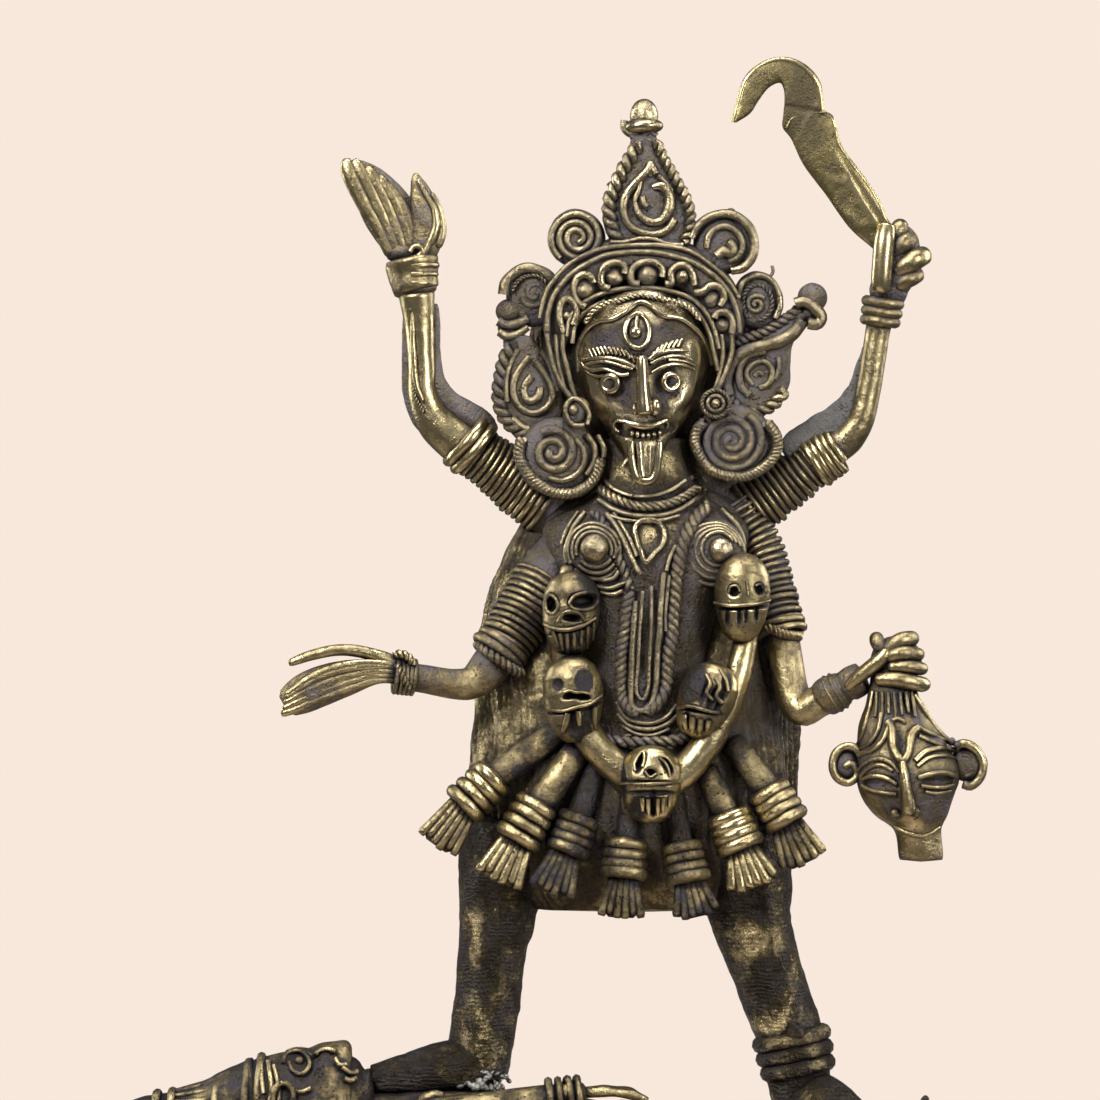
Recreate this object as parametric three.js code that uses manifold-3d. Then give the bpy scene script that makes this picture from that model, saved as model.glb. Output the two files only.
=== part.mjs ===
// A cast brass figure of the four-armed goddess Kali, who stands on the reclining Shiva and his low plate.
// Millimetres, +Z up, +X to the viewer's right, -Y to the viewer; the origin is under the plate's middle.
import * as THREE from "three";
import { mergeVertices } from "three/addons/utils/BufferGeometryUtils.js";
import Module from "manifold-3d";

const wasm = await Module();
wasm.setup();

// Driving dimensions.
const FIGURE_HEIGHT = 273; // from the plate's top to the knob of the crown
const PLATE_THICKNESS = 7.8;
const PLATE_MARGIN = 7; // from the plate's ends to Shiva's topknot and toes
const PLATE_WIDTH = 84;
const PLATE_CORNER = 6; // radius of its corners
const PLATE_BEAD = 1.6; // radius of the bead round its top edge
const KALI_FROM_FRONT = 44; // from the plate's front edge to her centreline

// The two figures are free forms. Their own sizes below are drawn for a height of 273 and scale with it.
const unit = FIGURE_HEIGHT / 273;
const drawn = {
  chestTop: 16, // where her right foot stands on Shiva's chest
  thighTop: 8, // where her left foot stands on his thigh
  topknotX: -134, // the tip of Shiva's topknot
  toesX: 78,
};

const TURN = 2 * Math.PI;
const ACROSS_DEPTH = new THREE.Vector3(0, 1, 0);
const ACROSS_UP = new THREE.Vector3(0, 0, 1);

const at = (x, y, z) => new THREE.Vector3(x, y, z).multiplyScalar(unit);
const rad = THREE.MathUtils.degToRad;
const lerp = THREE.MathUtils.lerp;

// A geometry as a closed solid that faces out.
function solid(geometry) {
  const bare = geometry.clone();
  bare.deleteAttribute("normal");
  bare.deleteAttribute("uv");
  const merged = mergeVertices(bare, 1e-4);
  const vertProperties = new Float32Array(merged.getAttribute("position").array);
  const triVerts = new Uint32Array(merged.index.array);
  const made = new wasm.Manifold(new wasm.Mesh({ numProp: 3, vertProperties, triVerts }));
  if (made.volume() > 0) return made;
  for (let i = 0; i < triVerts.length; i += 3) {
    [triVerts[i + 1], triVerts[i + 2]] = [triVerts[i + 2], triVerts[i + 1]];
  }
  return new wasm.Manifold(new wasm.Mesh({ numProp: 3, vertProperties, triVerts }));
}

const joined = (solids) => wasm.Manifold.union(solids);

// A closed skin that follows place(t, angle, rim) for t from 0 to 1; rim is 0 at the middle of each end.
function sweep(sides, steps, place) {
  const geometry = new THREE.CylinderGeometry(1, 1, 1, sides, steps);
  const position = geometry.getAttribute("position");
  const corner = new THREE.Vector3();
  for (let i = 0; i < position.count; i += 1) {
    corner.fromBufferAttribute(position, i);
    const rim = Math.round(Math.hypot(corner.x, corner.z));
    const t = Math.round((corner.y + 0.5) * steps) / steps;
    const spot = place(t, Math.atan2(corner.z, corner.x), rim);
    position.setXYZ(i, spot.x, spot.y, spot.z);
  }
  return solid(geometry);
}

// A value read off an evenly spaced list at t.
function along(list, t) {
  const place = t * (list.length - 1);
  const before = Math.min(Math.floor(place), list.length - 2);
  return lerp(list[before], list[before + 1], place - before);
}

// Sections of a tube: each gives how far its outline lies in depth and width, at an angle and at t along it.
const round = (angle) => [Math.cos(angle), Math.sin(angle)];
const flat = (deep) => (angle) => [deep * Math.cos(angle), Math.sin(angle)];
const twisted = (turns, waist = 0.6) => (angle, t) => {
  const [deep, wide] = [Math.cos(angle), waist * Math.sin(angle)];
  const turn = TURN * turns * t;
  return [deep * Math.cos(turn) - wide * Math.sin(turn), deep * Math.sin(turn) + wide * Math.cos(turn)];
};
// Round at the wrist, then a flat fan of fingers from t = from on.
const fanned = (from, flutes, deep = 0.42) => (angle, t) => {
  const open = THREE.MathUtils.smoothstep(t, from, 1);
  const out = 1 + 0.15 * open * Math.cos(flutes * angle);
  return [lerp(1, deep, open) * out * Math.cos(angle), out * Math.sin(angle)];
};

// A tube through stations [x, y, z, radius, ribs]. A span with ribs is bound with that many turns of wire,
// and any other span gets as many steps as the tube is given for each.
function tube(stations, { sides = 6, each = 1, section = round, across = ACROSS_DEPTH, height = 0.16 } = {}) {
  const line = new THREE.CatmullRomCurve3(stations.map(([x, y, z]) => at(x, y, z)), false, "centripetal");
  const radii = stations.map((station) => station[3] * unit);
  const spans = stations.length - 1;
  const rings = stations.slice(0, -1).flatMap(([, , , , ribs = 0], span) => {
    const count = ribs ? 2 * ribs : each;
    return Array.from({ length: count }, (_, i) =>
      [(span + i / count) / spans, ribs && i % 2 ? 1 + height : 1]);
  });
  rings.push([1, 1]);
  return sweep(sides, rings.length - 1, (share, angle, rim) => {
    const [t, swell] = rings[Math.round(share * (rings.length - 1))];
    const tangent = line.getTangent(t);
    const depth = across.clone().addScaledVector(tangent, -across.dot(tangent)).normalize();
    const width = tangent.clone().cross(depth);
    const [deep, wide] = section(angle, t);
    const radius = rim * swell * along(radii, t);
    return line.getPoint(t).addScaledVector(depth, radius * deep).addScaledVector(width, radius * wide);
  });
}

// A two-strand rope, whose section turns by half for each lay of the strands.
const rope = (stations, each, turns, across = ACROSS_DEPTH) =>
  tube(stations, { sides: 4, each, section: twisted(turns), across });

// Level rings [z, x, y, half width, half depth] skinned from the lowest up.
function stack(levels, sides, steps, swell = () => 1) {
  const columns = levels[0].map((_, n) => levels.map((level) => level[n]));
  return sweep(sides, steps, (t, angle, rim) => {
    const [z, x, y, wide, deep] = columns.map((column) => along(column, t));
    const out = rim * swell(t, angle);
    return at(x + wide * out * Math.cos(angle), y + deep * out * Math.sin(angle), z);
  });
}

// An ellipsoid, leaned over in the plane that faces the viewer.
function ball([x, y, z], [wide, deep, high], { lean = 0, sides = 8, rings = 5 } = {}) {
  const geometry = new THREE.SphereGeometry(1, sides, rings);
  geometry.rotateX(Math.PI / 2);
  geometry.scale(wide * unit, deep * unit, high * unit);
  geometry.rotateY(lean);
  return solid(geometry.translate(x * unit, y * unit, z * unit));
}

// A plate that faces the viewer. Its front rises and falls over rings [share of the outline, height]; the
// first ring can show a cord's lay, and a drift winds the rings into a spiral.
function relief([x, y, z], outline, rings, { sides = 12, back = 4, lay = 0, drift = 0, start = 0 } = {}) {
  const levels = [[0.85, -back], [1, 0], ...rings];
  return sweep(sides, levels.length - 1, (t, angle, rim) => {
    const ring = Math.round(t * (levels.length - 1));
    const [share, height] = levels[ring];
    const inward = ring > 2 ? drift * THREE.MathUtils.euclideanModulo((angle - start) / TURN, 1) : 0;
    const lift = ring === 2 ? 1 + lay * Math.cos((sides / 2) * angle) : 1;
    const [side, up] = outline(angle);
    const out = rim * (share - inward);
    return at(x + side * out, y - height * lift, z + up * out);
  });
}

const circle = (radius) => (angle) => [radius * Math.cos(angle), radius * Math.sin(angle)];

// A wire coiled flat, as in the curls and the crown's whorls.
const whorl = (centre, radius, options) =>
  relief(centre, circle(radius), [[0.84, 1.8], [0.62, 0], [0.42, 2]], { drift: 0.18, sides: 9, ...options });

// A drop-shaped plume of the crown with a rope edge, a coil inside, and a ring and a knob at its tip.
function plume([x, y, z], { high, wide, lean, start = 0 }) {
  const middle = 0.34;
  const side = [[-0.62, 0], [-0.97, 0.2], [-0.9, 0.42], [-0.5, 0.72], [-0.2, 1]];
  const around = [...side, ...side.map(([a, b]) => [-a, b]).reverse()];
  const edge = new THREE.CatmullRomCurve3(
    around.map(([a, b]) => new THREE.Vector3(a * wide, 0, (b - middle) * high)), true);
  const turned = ([a, b]) => [a * Math.cos(lean) + b * Math.sin(lean),
    b * Math.cos(lean) - a * Math.sin(lean)];
  const outline = (angle) => {
    const spot = edge.getPoint(THREE.MathUtils.euclideanModulo(angle / TURN, 1));
    return turned([spot.x, spot.z]);
  };
  const on = (up) => {
    const [a, b] = turned([0, up]);
    return [x + a, y, z + b];
  };
  return [
    relief(on(middle * high), outline, [[0.86, 2.8], [0.64, 0.2], [0.42, 2]],
      { sides: 14, lay: 0.3, drift: 0.14, start }),
    tube([[...on(high - 1), 3.4], [...on(high + 1), 5.6], [...on(high + 2.6), 3.2], [...on(high + 6), 4.6],
      [...on(high + 9), 1.8]]),
  ];
}

const TRUNK = [
  [98, 0, -4, 22, 12], [111, 0.6, -4.5, 16.5, 11], [124, 0.8, -5, 15.8, 11], [140, 1, -5, 19, 12],
  [153, 1.5, -4, 25, 12.5], [163, 1.5, -3, 27, 11.5], [169, 1.2, -3, 17, 10], [177, 1, -3.5, 12, 9.5],
];
const MASK = [
  [175, 0.4, -9, 3.2, 3.2], [179, 0.4, -8, 7.6, 6.4], [186, 0.4, -6, 12.4, 9.8], [194, 0.4, -4.6, 15.8, 12],
  [202, 0.4, -4, 17, 12.8], [210, 0.4, -3.6, 16.4, 12.6], [217, 0.4, -3, 13.8, 11.4], [223, 0.4, -2, 8, 8],
];

// How far forward the front of a stack of level rings stands at x and z.
function frontOf(levels, x, z) {
  const above = Math.max(1, levels.findIndex((level) => level[0] >= z));
  const [low, high] = [levels[above - 1], levels[above]];
  const share = (z - low[0]) / (high[0] - low[0]);
  const [, middle, y, wide, deep] = low.map((value, n) => lerp(value, high[n], share));
  return y - deep * Math.sqrt(Math.max(0, 1 - ((x - middle) / wide) ** 2));
}

// A wire laid on the front of a stack through [x, z] spots.
const laidWire = (levels, spots, radius) =>
  tube(spots.map(([x, z]) => [x, frontOf(levels, x, z) + 0.1, z, radius]), { sides: 3 });

// Her body, from the hem of the hair to the neck.
function body() {
  const hair = [
    [62, -2, 4, 33, 11], [76, -3, 4, 42, 16.5], [96, -1.7, 4, 42.4, 18.5], [116, -0.5, 5, 42, 17],
    [136, -0.6, 7, 40.2, 13.4], [156, 0.6, 8, 34.6, 10.8], [176, 1.3, 7, 28, 9], [196, 0.8, 5, 28, 9.5],
    [214, 1.2, 4.4, 29.4, 9.5], [232, 0.8, 3, 17, 6],
  ];
  const locks = (t, angle) => 1 + 0.05 * Math.cos(9 * angle) *
    Math.sin(Math.PI * t) * Math.max(0, Math.sin(angle));
  const neck = [[174, 1, -3.5, 12, 9.5], [184, 0.5, -3, 11.5, 9.5]];
  return [stack(hair, 18, 8, locks), stack(TRUNK, 8, 5), stack(neck, 7, 1)];
}

// Her face: a mask with ring eyes, a straight nose, a third eye and the tongue put out.
function face() {
  const eye = (x) => [
    relief([x, frontOf(MASK, x, 199.4) + 0.6, 199.4], circle(3.1), [[0.8, 1.4], [0.4, 0.4]], { sides: 7 }),
    laidWire(MASK, [[x - 5.4, 204.6], [x, 207.6], [x + 5.4, 204.6]], 1.4),
  ];
  const drop = (angle) => [2.4 * Math.cos(angle), 3.2 * Math.sin(angle) * (1 + 0.35 * Math.sin(angle))];
  const fringe = [[-16, 203], [-12.6, 212], [-6, 216.6], [0.4, 220.6], [7, 216.6], [13.4, 212], [16.8, 203]];
  return [
    stack(MASK, 12, 7),
    tube([[0.2, -16, 206, 1.7], [0.4, -18.2, 196, 1.8], [0.5, -18.8, 190.6, 2.3]], { sides: 4 }),
    ...eye(-7.8),
    ...eye(7.6),
    relief([-1.3, frontOf(MASK, 0, 213.4) + 0.8, 213.4], drop, [[0.76, 1.6], [0.4, 0.6]], { sides: 6 }),
    laidWire(MASK, [[-7.4, 189], [0, 185.8], [7.6, 189]], 1.3),
    tube([[0, -14, 185.4, 4], [0.2, -17, 180, 3.8],
      [-0.1, -16, 172.6, 2.2]], { sides: 6, section: flat(0.45) }),
    laidWire(MASK, fringe, 1.2),
  ];
}

// The crown's band: an arc of horseshoe lobes between an inner and an outer wire.
function band() {
  const [middleX, middleZ] = [1.3, 209];
  const LOBES = 7;
  const profile = [[15.6, 4], [15.8, -8.4], [17.2, -10.4], [18.4, -8.4], [21.8, -9.2], [25, -8], [26.6, -9.8],
    [28, -7]];
  return sweep(profile.length, 3 * (LOBES - 1), (t, angle, rim) => {
    const corner = Math.round((angle / TURN + 1) * profile.length) % profile.length;
    const [radius, y] = rim ? profile[corner] : [21.6, -2];
    const lobe = corner === 4 && rim ? 2.6 * Math.abs(Math.cos(Math.PI * (LOBES - 1) * t)) : 0;
    const around = rad(lerp(-14, 194, t));
    return at(middleX + radius * Math.cos(around), y - lobe, middleZ + radius * Math.sin(around));
  });
}

// The crown: its band, with whorls and plumes round it.
function crown() {
  return [
    band(),
    whorl([-16.6, -7.4, 237.2], 8.6, { start: rad(250), back: 6 }),
    whorl([21.6, -7.4, 236.4], 8.8, { start: rad(200), back: 6 }),
    whorl([-28.4, -6.4, 222.6], 8, { start: rad(0), back: 6 }),
    whorl([30.2, -6.4, 221.6], 7.8, { start: rad(300), back: 6 }),
    ...plume([2, -5.6, 235.6], { high: 28.4, wide: 12.4, lean: rad(-3) }),
    ...plume([23.4, -3.4, 190.6], { high: 31, wide: 11, lean: rad(34), start: rad(120) }),
    ...plume([-26.4, -3.4, 187.4], { high: 26, wide: 10.4, lean: rad(-15), start: rad(60) }),
  ];
}

// The earrings and the corded curls on her shoulders.
function curls() {
  const stud = (centre, radius) => relief(centre, circle(radius), [[0.7, 1]], { sides: 6, back: 4 });
  const curl = (centre, radius, start) =>
    relief(centre, circle(radius), [[0.88, 3], [0.7, 0.6], [0.5, 2.6], [0.3, 0.6]], {
      sides: 14, lay: 0.25, drift: 0.14, start, back: 8,
    });
  return [
    stud([-17, -10, 190.6], 4.1),
    stud([19, -10.4, 193], 3.8),
    curl([-20.6, -6.6, 180], 11.4, rad(20)),
    curl([24.2, -6.6, 181.6], 11.2, rad(160)),
  ];
}

// Her upper right arm, bound with wire above the elbow and ringed at the wrist, with the open hand raised.
function openHandArm() {
  return [
    tube([[-16, 6, 163, 10, 4], [-31, 5, 174, 8.8, 3], [-42.4, 3, 183, 6.4], [-48.6, 2, 187, 6.2],
      [-54, 1.4, 192.4, 5.8], [-56.8, 1, 200, 5.2], [-57.6, 0, 211, 5], [-58.8, 0, 222.6, 5.2, 3],
      [-59, -0.4, 232, 6]]),
    tube([[-59, -0.6, 230, 5.4], [-61.8, -1, 237, 6.6], [-67.6, -1.8, 247, 8.8], [-75, -1.2, 257, 4]], {
      sides: 10, section: fanned(0.1, 5, 0.34),
    }),
    tube([[-55, -3, 230, 3], [-53.4, -4, 239.6, 3.4], [-55.6, -4.4, 246.4, 2.8], [-58.4, -4.4, 254.4, 0.8]], {
      sides: 4,
    }),
  ];
}

// The curved sword, from the fist to its hooked tip, as pairs on its outer and inner edges.
function sword() {
  const outer = [[67, 236], [62.4, 245.7], [54.3, 256.9], [50.4, 266.2], [47.3, 275.1], [43.9, 281.3],
    [37.7, 283.9], [31.2, 282.4], [26.5, 276.6], [24.2, 266.8]];
  const inner = [[62, 231], [54.2, 238.6], [42.4, 254.6], [38.2, 260.6], [36, 270], [36.8, 274.8],
    [35, 276], [32.8, 274.4], [27.8, 269], [25.2, 265.8]];
  const [outerEdge, innerEdge] = [outer, inner].map((edge) =>
    new THREE.CatmullRomCurve3(edge.map(([x, z]) => at(x, -3, z)), false, "centripetal"));
  const halfThickness = 1.7;
  return sweep(4, 12, (t, angle, rim) => {
    const share = (1 + rim * Math.cos(angle)) / 2;
    const spot = innerEdge.getPoint(t).lerp(outerEdge.getPoint(t), share);
    return spot.add(at(0, rim * halfThickness * Math.sin(angle), 0));
  });
}

// Her upper left arm with the fist that holds the sword.
function swordArm() {
  return [
    tube([[18, 6, 164, 9.8, 4], [37.7, 5, 177.6, 8, 3], [52, 3, 185.6, 5.4], [55.4, 2, 187.8, 4.9],
      [58.4, 1.4, 194, 4.4], [60, 1, 202, 4], [61.8, 0, 215.4, 5, 2], [63.6, -0.2, 223.4, 5.4]]),
    tube([[65.8, -0.8, 221, 6.2, 4], [67.4, -0.8, 237, 7.6]], { section: flat(0.74), height: 0.18 }),
    tube([[61.6, -4.8, 222, 2.4], [62.2, -6, 231, 2.6], [64, -5.6, 240.4, 2.2]], { sides: 4 }),
    sword(),
  ];
}

// Her lower right arm, reaching forward with the open hand.
function givingArm() {
  return [
    tube([[-18, 1, 155, 8.4, 4], [-36, -6, 131, 7], [-40, -8, 124, 5.8], [-45, -10, 120.6, 5],
      [-51, -12, 122, 4.6], [-57, -13, 124.2, 5, 2], [-63.4, -14, 125.6, 4.8]]),
    tube([[-60, -13.6, 124.6, 4.6], [-66, -15, 123.4, 5], [-77, -17.4, 121, 5.2], [-90.6, -19, 117.4, 3.4]], {
      sides: 10, section: fanned(0.05, 5, 0.4),
    }),
    tube([[-61, -14, 126, 2.6], [-70, -15.6, 129.6, 2.6], [-79, -17, 129.8, 2.3], [-90.4, -18, 127.4, 1.2]], {
      sides: 4,
    }),
  ];
}

// The cut head that hangs from her lower left hand.
function cutHead() {
  const skull = [
    [76.4, 70.8, -18, 5.6, 3.6], [84.4, 69.6, -18, 6.2, 5.4], [92, 68.2, -18, 11, 8.4],
    [101, 67.8, -18, 12.8, 8.8],
    [108, 67.6, -17.4, 11.4, 7.4], [115, 66.4, -16.6, 8, 5.6], [123, 65.6, -16, 6, 4.4],
  ];
  const lid = (angle) => [4.8 * Math.cos(angle), 2.3 * Math.sin(angle)];
  const eye = (x) => [
    relief([x, frontOf(skull, x, 96) + 0.8, 96], lid, [[0.6, 1.6]], { sides: 6 }),
    laidWire(skull, [[x - 4.6, 99.8], [x, 102.2], [x + 4.6, 100]], 1.3),
  ];
  return [
    stack(skull, 8, 6),
    tube([[67.2, -25, 103, 1.6], [68, -27.4, 94, 1.9], [69.2, -26.6, 87.4, 2.5]], { sides: 4 }),
    ...eye(61.6),
    ...eye(75.6),
    laidWire(skull, [[63.4, 111], [64.2, 104.8], [66.6, 103.2], [69.2, 104.8], [70, 111]], 1.2),
    whorl([53.6, -19, 101.6], 6.2, { sides: 7, start: rad(60), back: 5 }),
    whorl([82, -19, 101.2], 6, { sides: 7, start: rad(110), back: 5 }),
  ];
}

// Her lower left arm, with the fist that holds the cut head by its hair.
function headArm() {
  return [
    tube([[24, 3, 168, 6, 3], [32.4, 1, 152, 6.2, 4], [35.8, -3.6, 135.6, 5.2], [38.2, -6, 126, 5],
      [40.6, -8, 117.4, 5], [45, -10.6, 115.4, 4.8], [50, -12, 118.6, 5.2, 2], [56, -14, 123.6, 5.4]]),
    tube([[65.4, -17, 136.4, 4.2, 4], [67.2, -17, 120.4, 5.4]], { height: 0.2 }),
    tube([[53, -14.4, 121.4, 5.2], [64, -16.4, 130, 4.8]], { sides: 6 }),
    tube([[54, -17, 124, 2.4], [59, -19.2, 129, 2.4], [63, -19.4, 132, 1.8]], { sides: 4 }),
    ball([60.6, -16, 133.6], [2.8, 3, 3], { sides: 5, rings: 3 }),
    ...cutHead(),
  ];
}

// A skull of the garland: a domed head with two eye pits over a fluted row of teeth.
function skull([x, y, z], [wide, high], lean) {
  const levels = [[-1, 0.34, 0.45], [-0.74, 0.62, 0.75], [-0.2, 0.8, 0.85],
    [0.1, 1, 1], [0.62, 0.9, 0.85], [1, 0.34, 0.4]];
  const turned = (side, up) => [
    x + side * Math.cos(lean) + up * Math.sin(lean), z - side * Math.sin(lean) + up * Math.cos(lean),
  ];
  const head = sweep(8, levels.length - 1, (t, angle, rim) => {
    const ring = Math.round(t * (levels.length - 1));
    const [up, side, deep] = levels[ring];
    const teeth = ring === 1 || ring === 2 ? 1 + 0.12 * Math.cos(4 * angle + Math.PI) : 1;
    const [a, b] = turned(rim * wide * side * teeth * Math.cos(angle), high * up);
    return at(a, y - 5.8 * rim * deep * teeth * Math.sin(angle), b);
  });
  const pit = (side) => {
    const [a, b] = turned(side * wide * 0.42, high * 0.28);
    return ball([a, y - 5.6, b], [wide * 0.34, 3.4, wide * 0.38], { sides: 4, rings: 2 });
  };
  return head.subtract(joined([pit(-1), pit(1)]));
}

// The garland of skulls on its thick cord.
function garland() {
  const cord = [
    [-17, -10, 150, 3.8], [-19.4, -14, 131, 4.4], [-15.6, -16.4, 112, 4.6], [-7.6, -18, 100.6, 4.6],
    [2.4, -18.6, 95.6, 4.6], [12.6, -18, 100.4, 4.7], [21, -16.4, 113.6, 4.6], [26, -14, 130, 4.4],
    [28, -11, 148, 3.8],
  ];
  return [
    tube(cord),
    skull([-18.2, -16.4, 141.8], [7.2, 11.4], rad(4)),
    skull([-17.2, -18, 117.2], [8, 10.8], rad(-8)),
    skull([2.7, -20.6, 96], [7.6, 9.8], rad(4)),
    skull([17.2, -18.4, 116.6], [7.8, 10.6], rad(18)),
    skull([26.2, -16, 143.6], [7.8, 11.6], rad(4)),
  ];
}

// One cut forearm of the skirt: its start, its wrist and the tips of its fingers, and their three widths.
function skirtArm([start, wrist, tip], [arm, ring, fan]) {
  const [a, b, c] = [start, wrist, tip].map((spot) => new THREE.Vector3(...spot));
  const before = a.clone().lerp(b, 0.8).toArray();
  const beyond = b.clone().lerp(c, 0.28).toArray();
  const spread = b.clone().lerp(c, 0.6).toArray();
  return tube([[...start, arm], [...before, ring * 0.9, 2], [...beyond, ring],
    [...spread, fan * 0.92], [...tip, fan]], {
    section: fanned(0.5, 3),
  });
}

// The skirt of seven cut arms under a rope belt.
function skirt() {
  const arms = [
    [[[-20, -10, 109.4], [-42.4, -12, 94.4], [-52.6, -13, 80]], [4.8, 5.4, 6]],
    [[[-15, -13, 106], [-29.4, -16, 86.4], [-37, -17.6, 71]], [4.6, 5.6, 6.2]],
    [[[-11, -13, 101], [-17.4, -16, 83.4], [-23.4, -17.6, 68]], [3.8, 4.6, 6]],
    [[[-2, -13, 95], [-4.2, -16.4, 77], [-5.2, -17.6, 61.4]], [3.6, 5.2, 5.8]],
    [[[8, -13, 95], [11.2, -16.4, 75.6], [14.4, -17.6, 61.6]], [3.5, 4.8, 5.8]],
    [[[16.4, -13, 100], [24, -16, 84.2], [29.2, -17.6, 69.4]], [3.7, 5.6, 6.8]],
    [[[23, -11, 107], [35.2, -14, 90.4], [42.2, -15.4, 75]], [4.2, 5.4, 6.4]],
  ];
  const belt = [[-16, -10.4, 107, 2], [-6, -14.4, 105, 2], [6, -14.4, 104.8, 2], [17, -10.4, 107, 2]];
  return [rope(belt, 3, 1.5), ...arms.map(([spots, widths]) => skirtArm(spots, widths))];
}

// The necklaces, the long rope on her breast with its inner wire, and her breasts of wound wire.
function breastWork() {
  const throat = (drop, out, wire) => [
    [-11 - out, -3, 171 - drop * 0.3, wire], [-8 - out * 0.7, -9.6 - out, 168 - drop, wire],
    [0.4, -13 - out, 166 - drop, wire], [9 + out * 0.7, -9.6 - out, 168 - drop, wire],
    [12.4 + out, -3, 171.6 - drop * 0.3, wire],
  ];
  const on = (spots, radius) => spots.map(([x, z]) => [x, frontOf(TRUNK, x, z) - 0.3, z, radius]);
  const long = [[13, 164], [10.4, 154], [8, 143], [8.6, 128], [7, 115],
    [1.8, 110], [-4.2, 115.6], [-4.8, 128],
    [-5, 143], [-7.4, 153], [-11, 163]];
  const inner = [[4.6, 148], [4.8, 126], [4.4, 117.4], [2, 114.8], [-0.6, 117.4], [-0.8, 126], [-0.6, 146]];
  const loop = [[2.6, 152], [5.2, 159.6], [2.8, 163.4], [0, 159.6], [2.2, 152.4]];
  const breast = (centre, radius) =>
    relief(centre, circle(radius), [[0.84, 2.8], [0.66, 4.2],
      [0.52, 5.2], [0.36, 9.4]], { sides: 9, back: 3 });
  return [
    tube(throat(0, 0, 1.3), { sides: 3, across: ACROSS_UP }),
    rope(throat(3.4, 0.6, 2), 3, 2, ACROSS_UP),
    rope(on(long, 2.1), 2, 3.5),
    tube(on(inner, 1.2), { sides: 3 }),
    tube(on(loop, 1.2), { sides: 3 }),
    breast([-11.4, -12.6, 154.6], 8.2),
    breast([18.6, -11.6, 155.8], 8.4),
  ];
}

// A block above or below a level, to flatten what stands there.
function block([x, y], [long, wide], level, side) {
  const room = new THREE.BoxGeometry(long * unit, wide * unit, 40 * unit);
  return solid(room.translate(x * unit, y * unit, (level + 20 * side) * unit));
}

// Her legs. Both soles are flat where they stand.
function legs() {
  const right = joined([
    tube([[-34, 1, 84, 12.6], [-35.8, 1, 73, 11.8], [-37.2, 1, 60, 9.8],
      [-38.8, 1, 49, 8.6], [-39.8, 1, 38, 8.6],
      [-41.6, 1, 28, 8.6], [-43, 0, 18, 8.4]], { sides: 7 }),
    tube([[-36, 0, 17.6, 6], [-46, -1, 19.4, 8], [-58, -3, 19, 7.4], [-70, -4, 18, 5.4]], { sides: 8 }),
  ]).subtract(block([-50, 0], [80, 60], drawn.chestTop, -1));
  const left = joined([
    tube([[26.6, 1, 82, 12.6], [28, 1, 70, 11.6], [28.8, 1, 60, 10.8], [32.2, 1, 49, 9.2], [35.6, 1, 39, 9],
      [39.4, 1, 28.4, 9.4, 2], [41.2, 0, 20, 8.8], [42, 0, 9, 7.4]], { sides: 7 }),
    tube([[38, 4, 10, 6.4], [45, -2, 10.8, 8.8], [50, -9, 9.2, 8], [54, -15, 7.8, 6]],
      { sides: 8, across: ACROSS_UP }),
  ]).subtract(block([46, 0], [60, 60], drawn.thighTop, -1));
  return [right, left];
}

function kali() {
  return joined([
    ...body(), ...face(), ...crown(), ...curls(), ...openHandArm(),
    ...swordArm(), ...givingArm(), ...headArm(),
    ...breastWork(), ...garland(), ...skirt(), ...legs(),
  ]);
}

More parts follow.
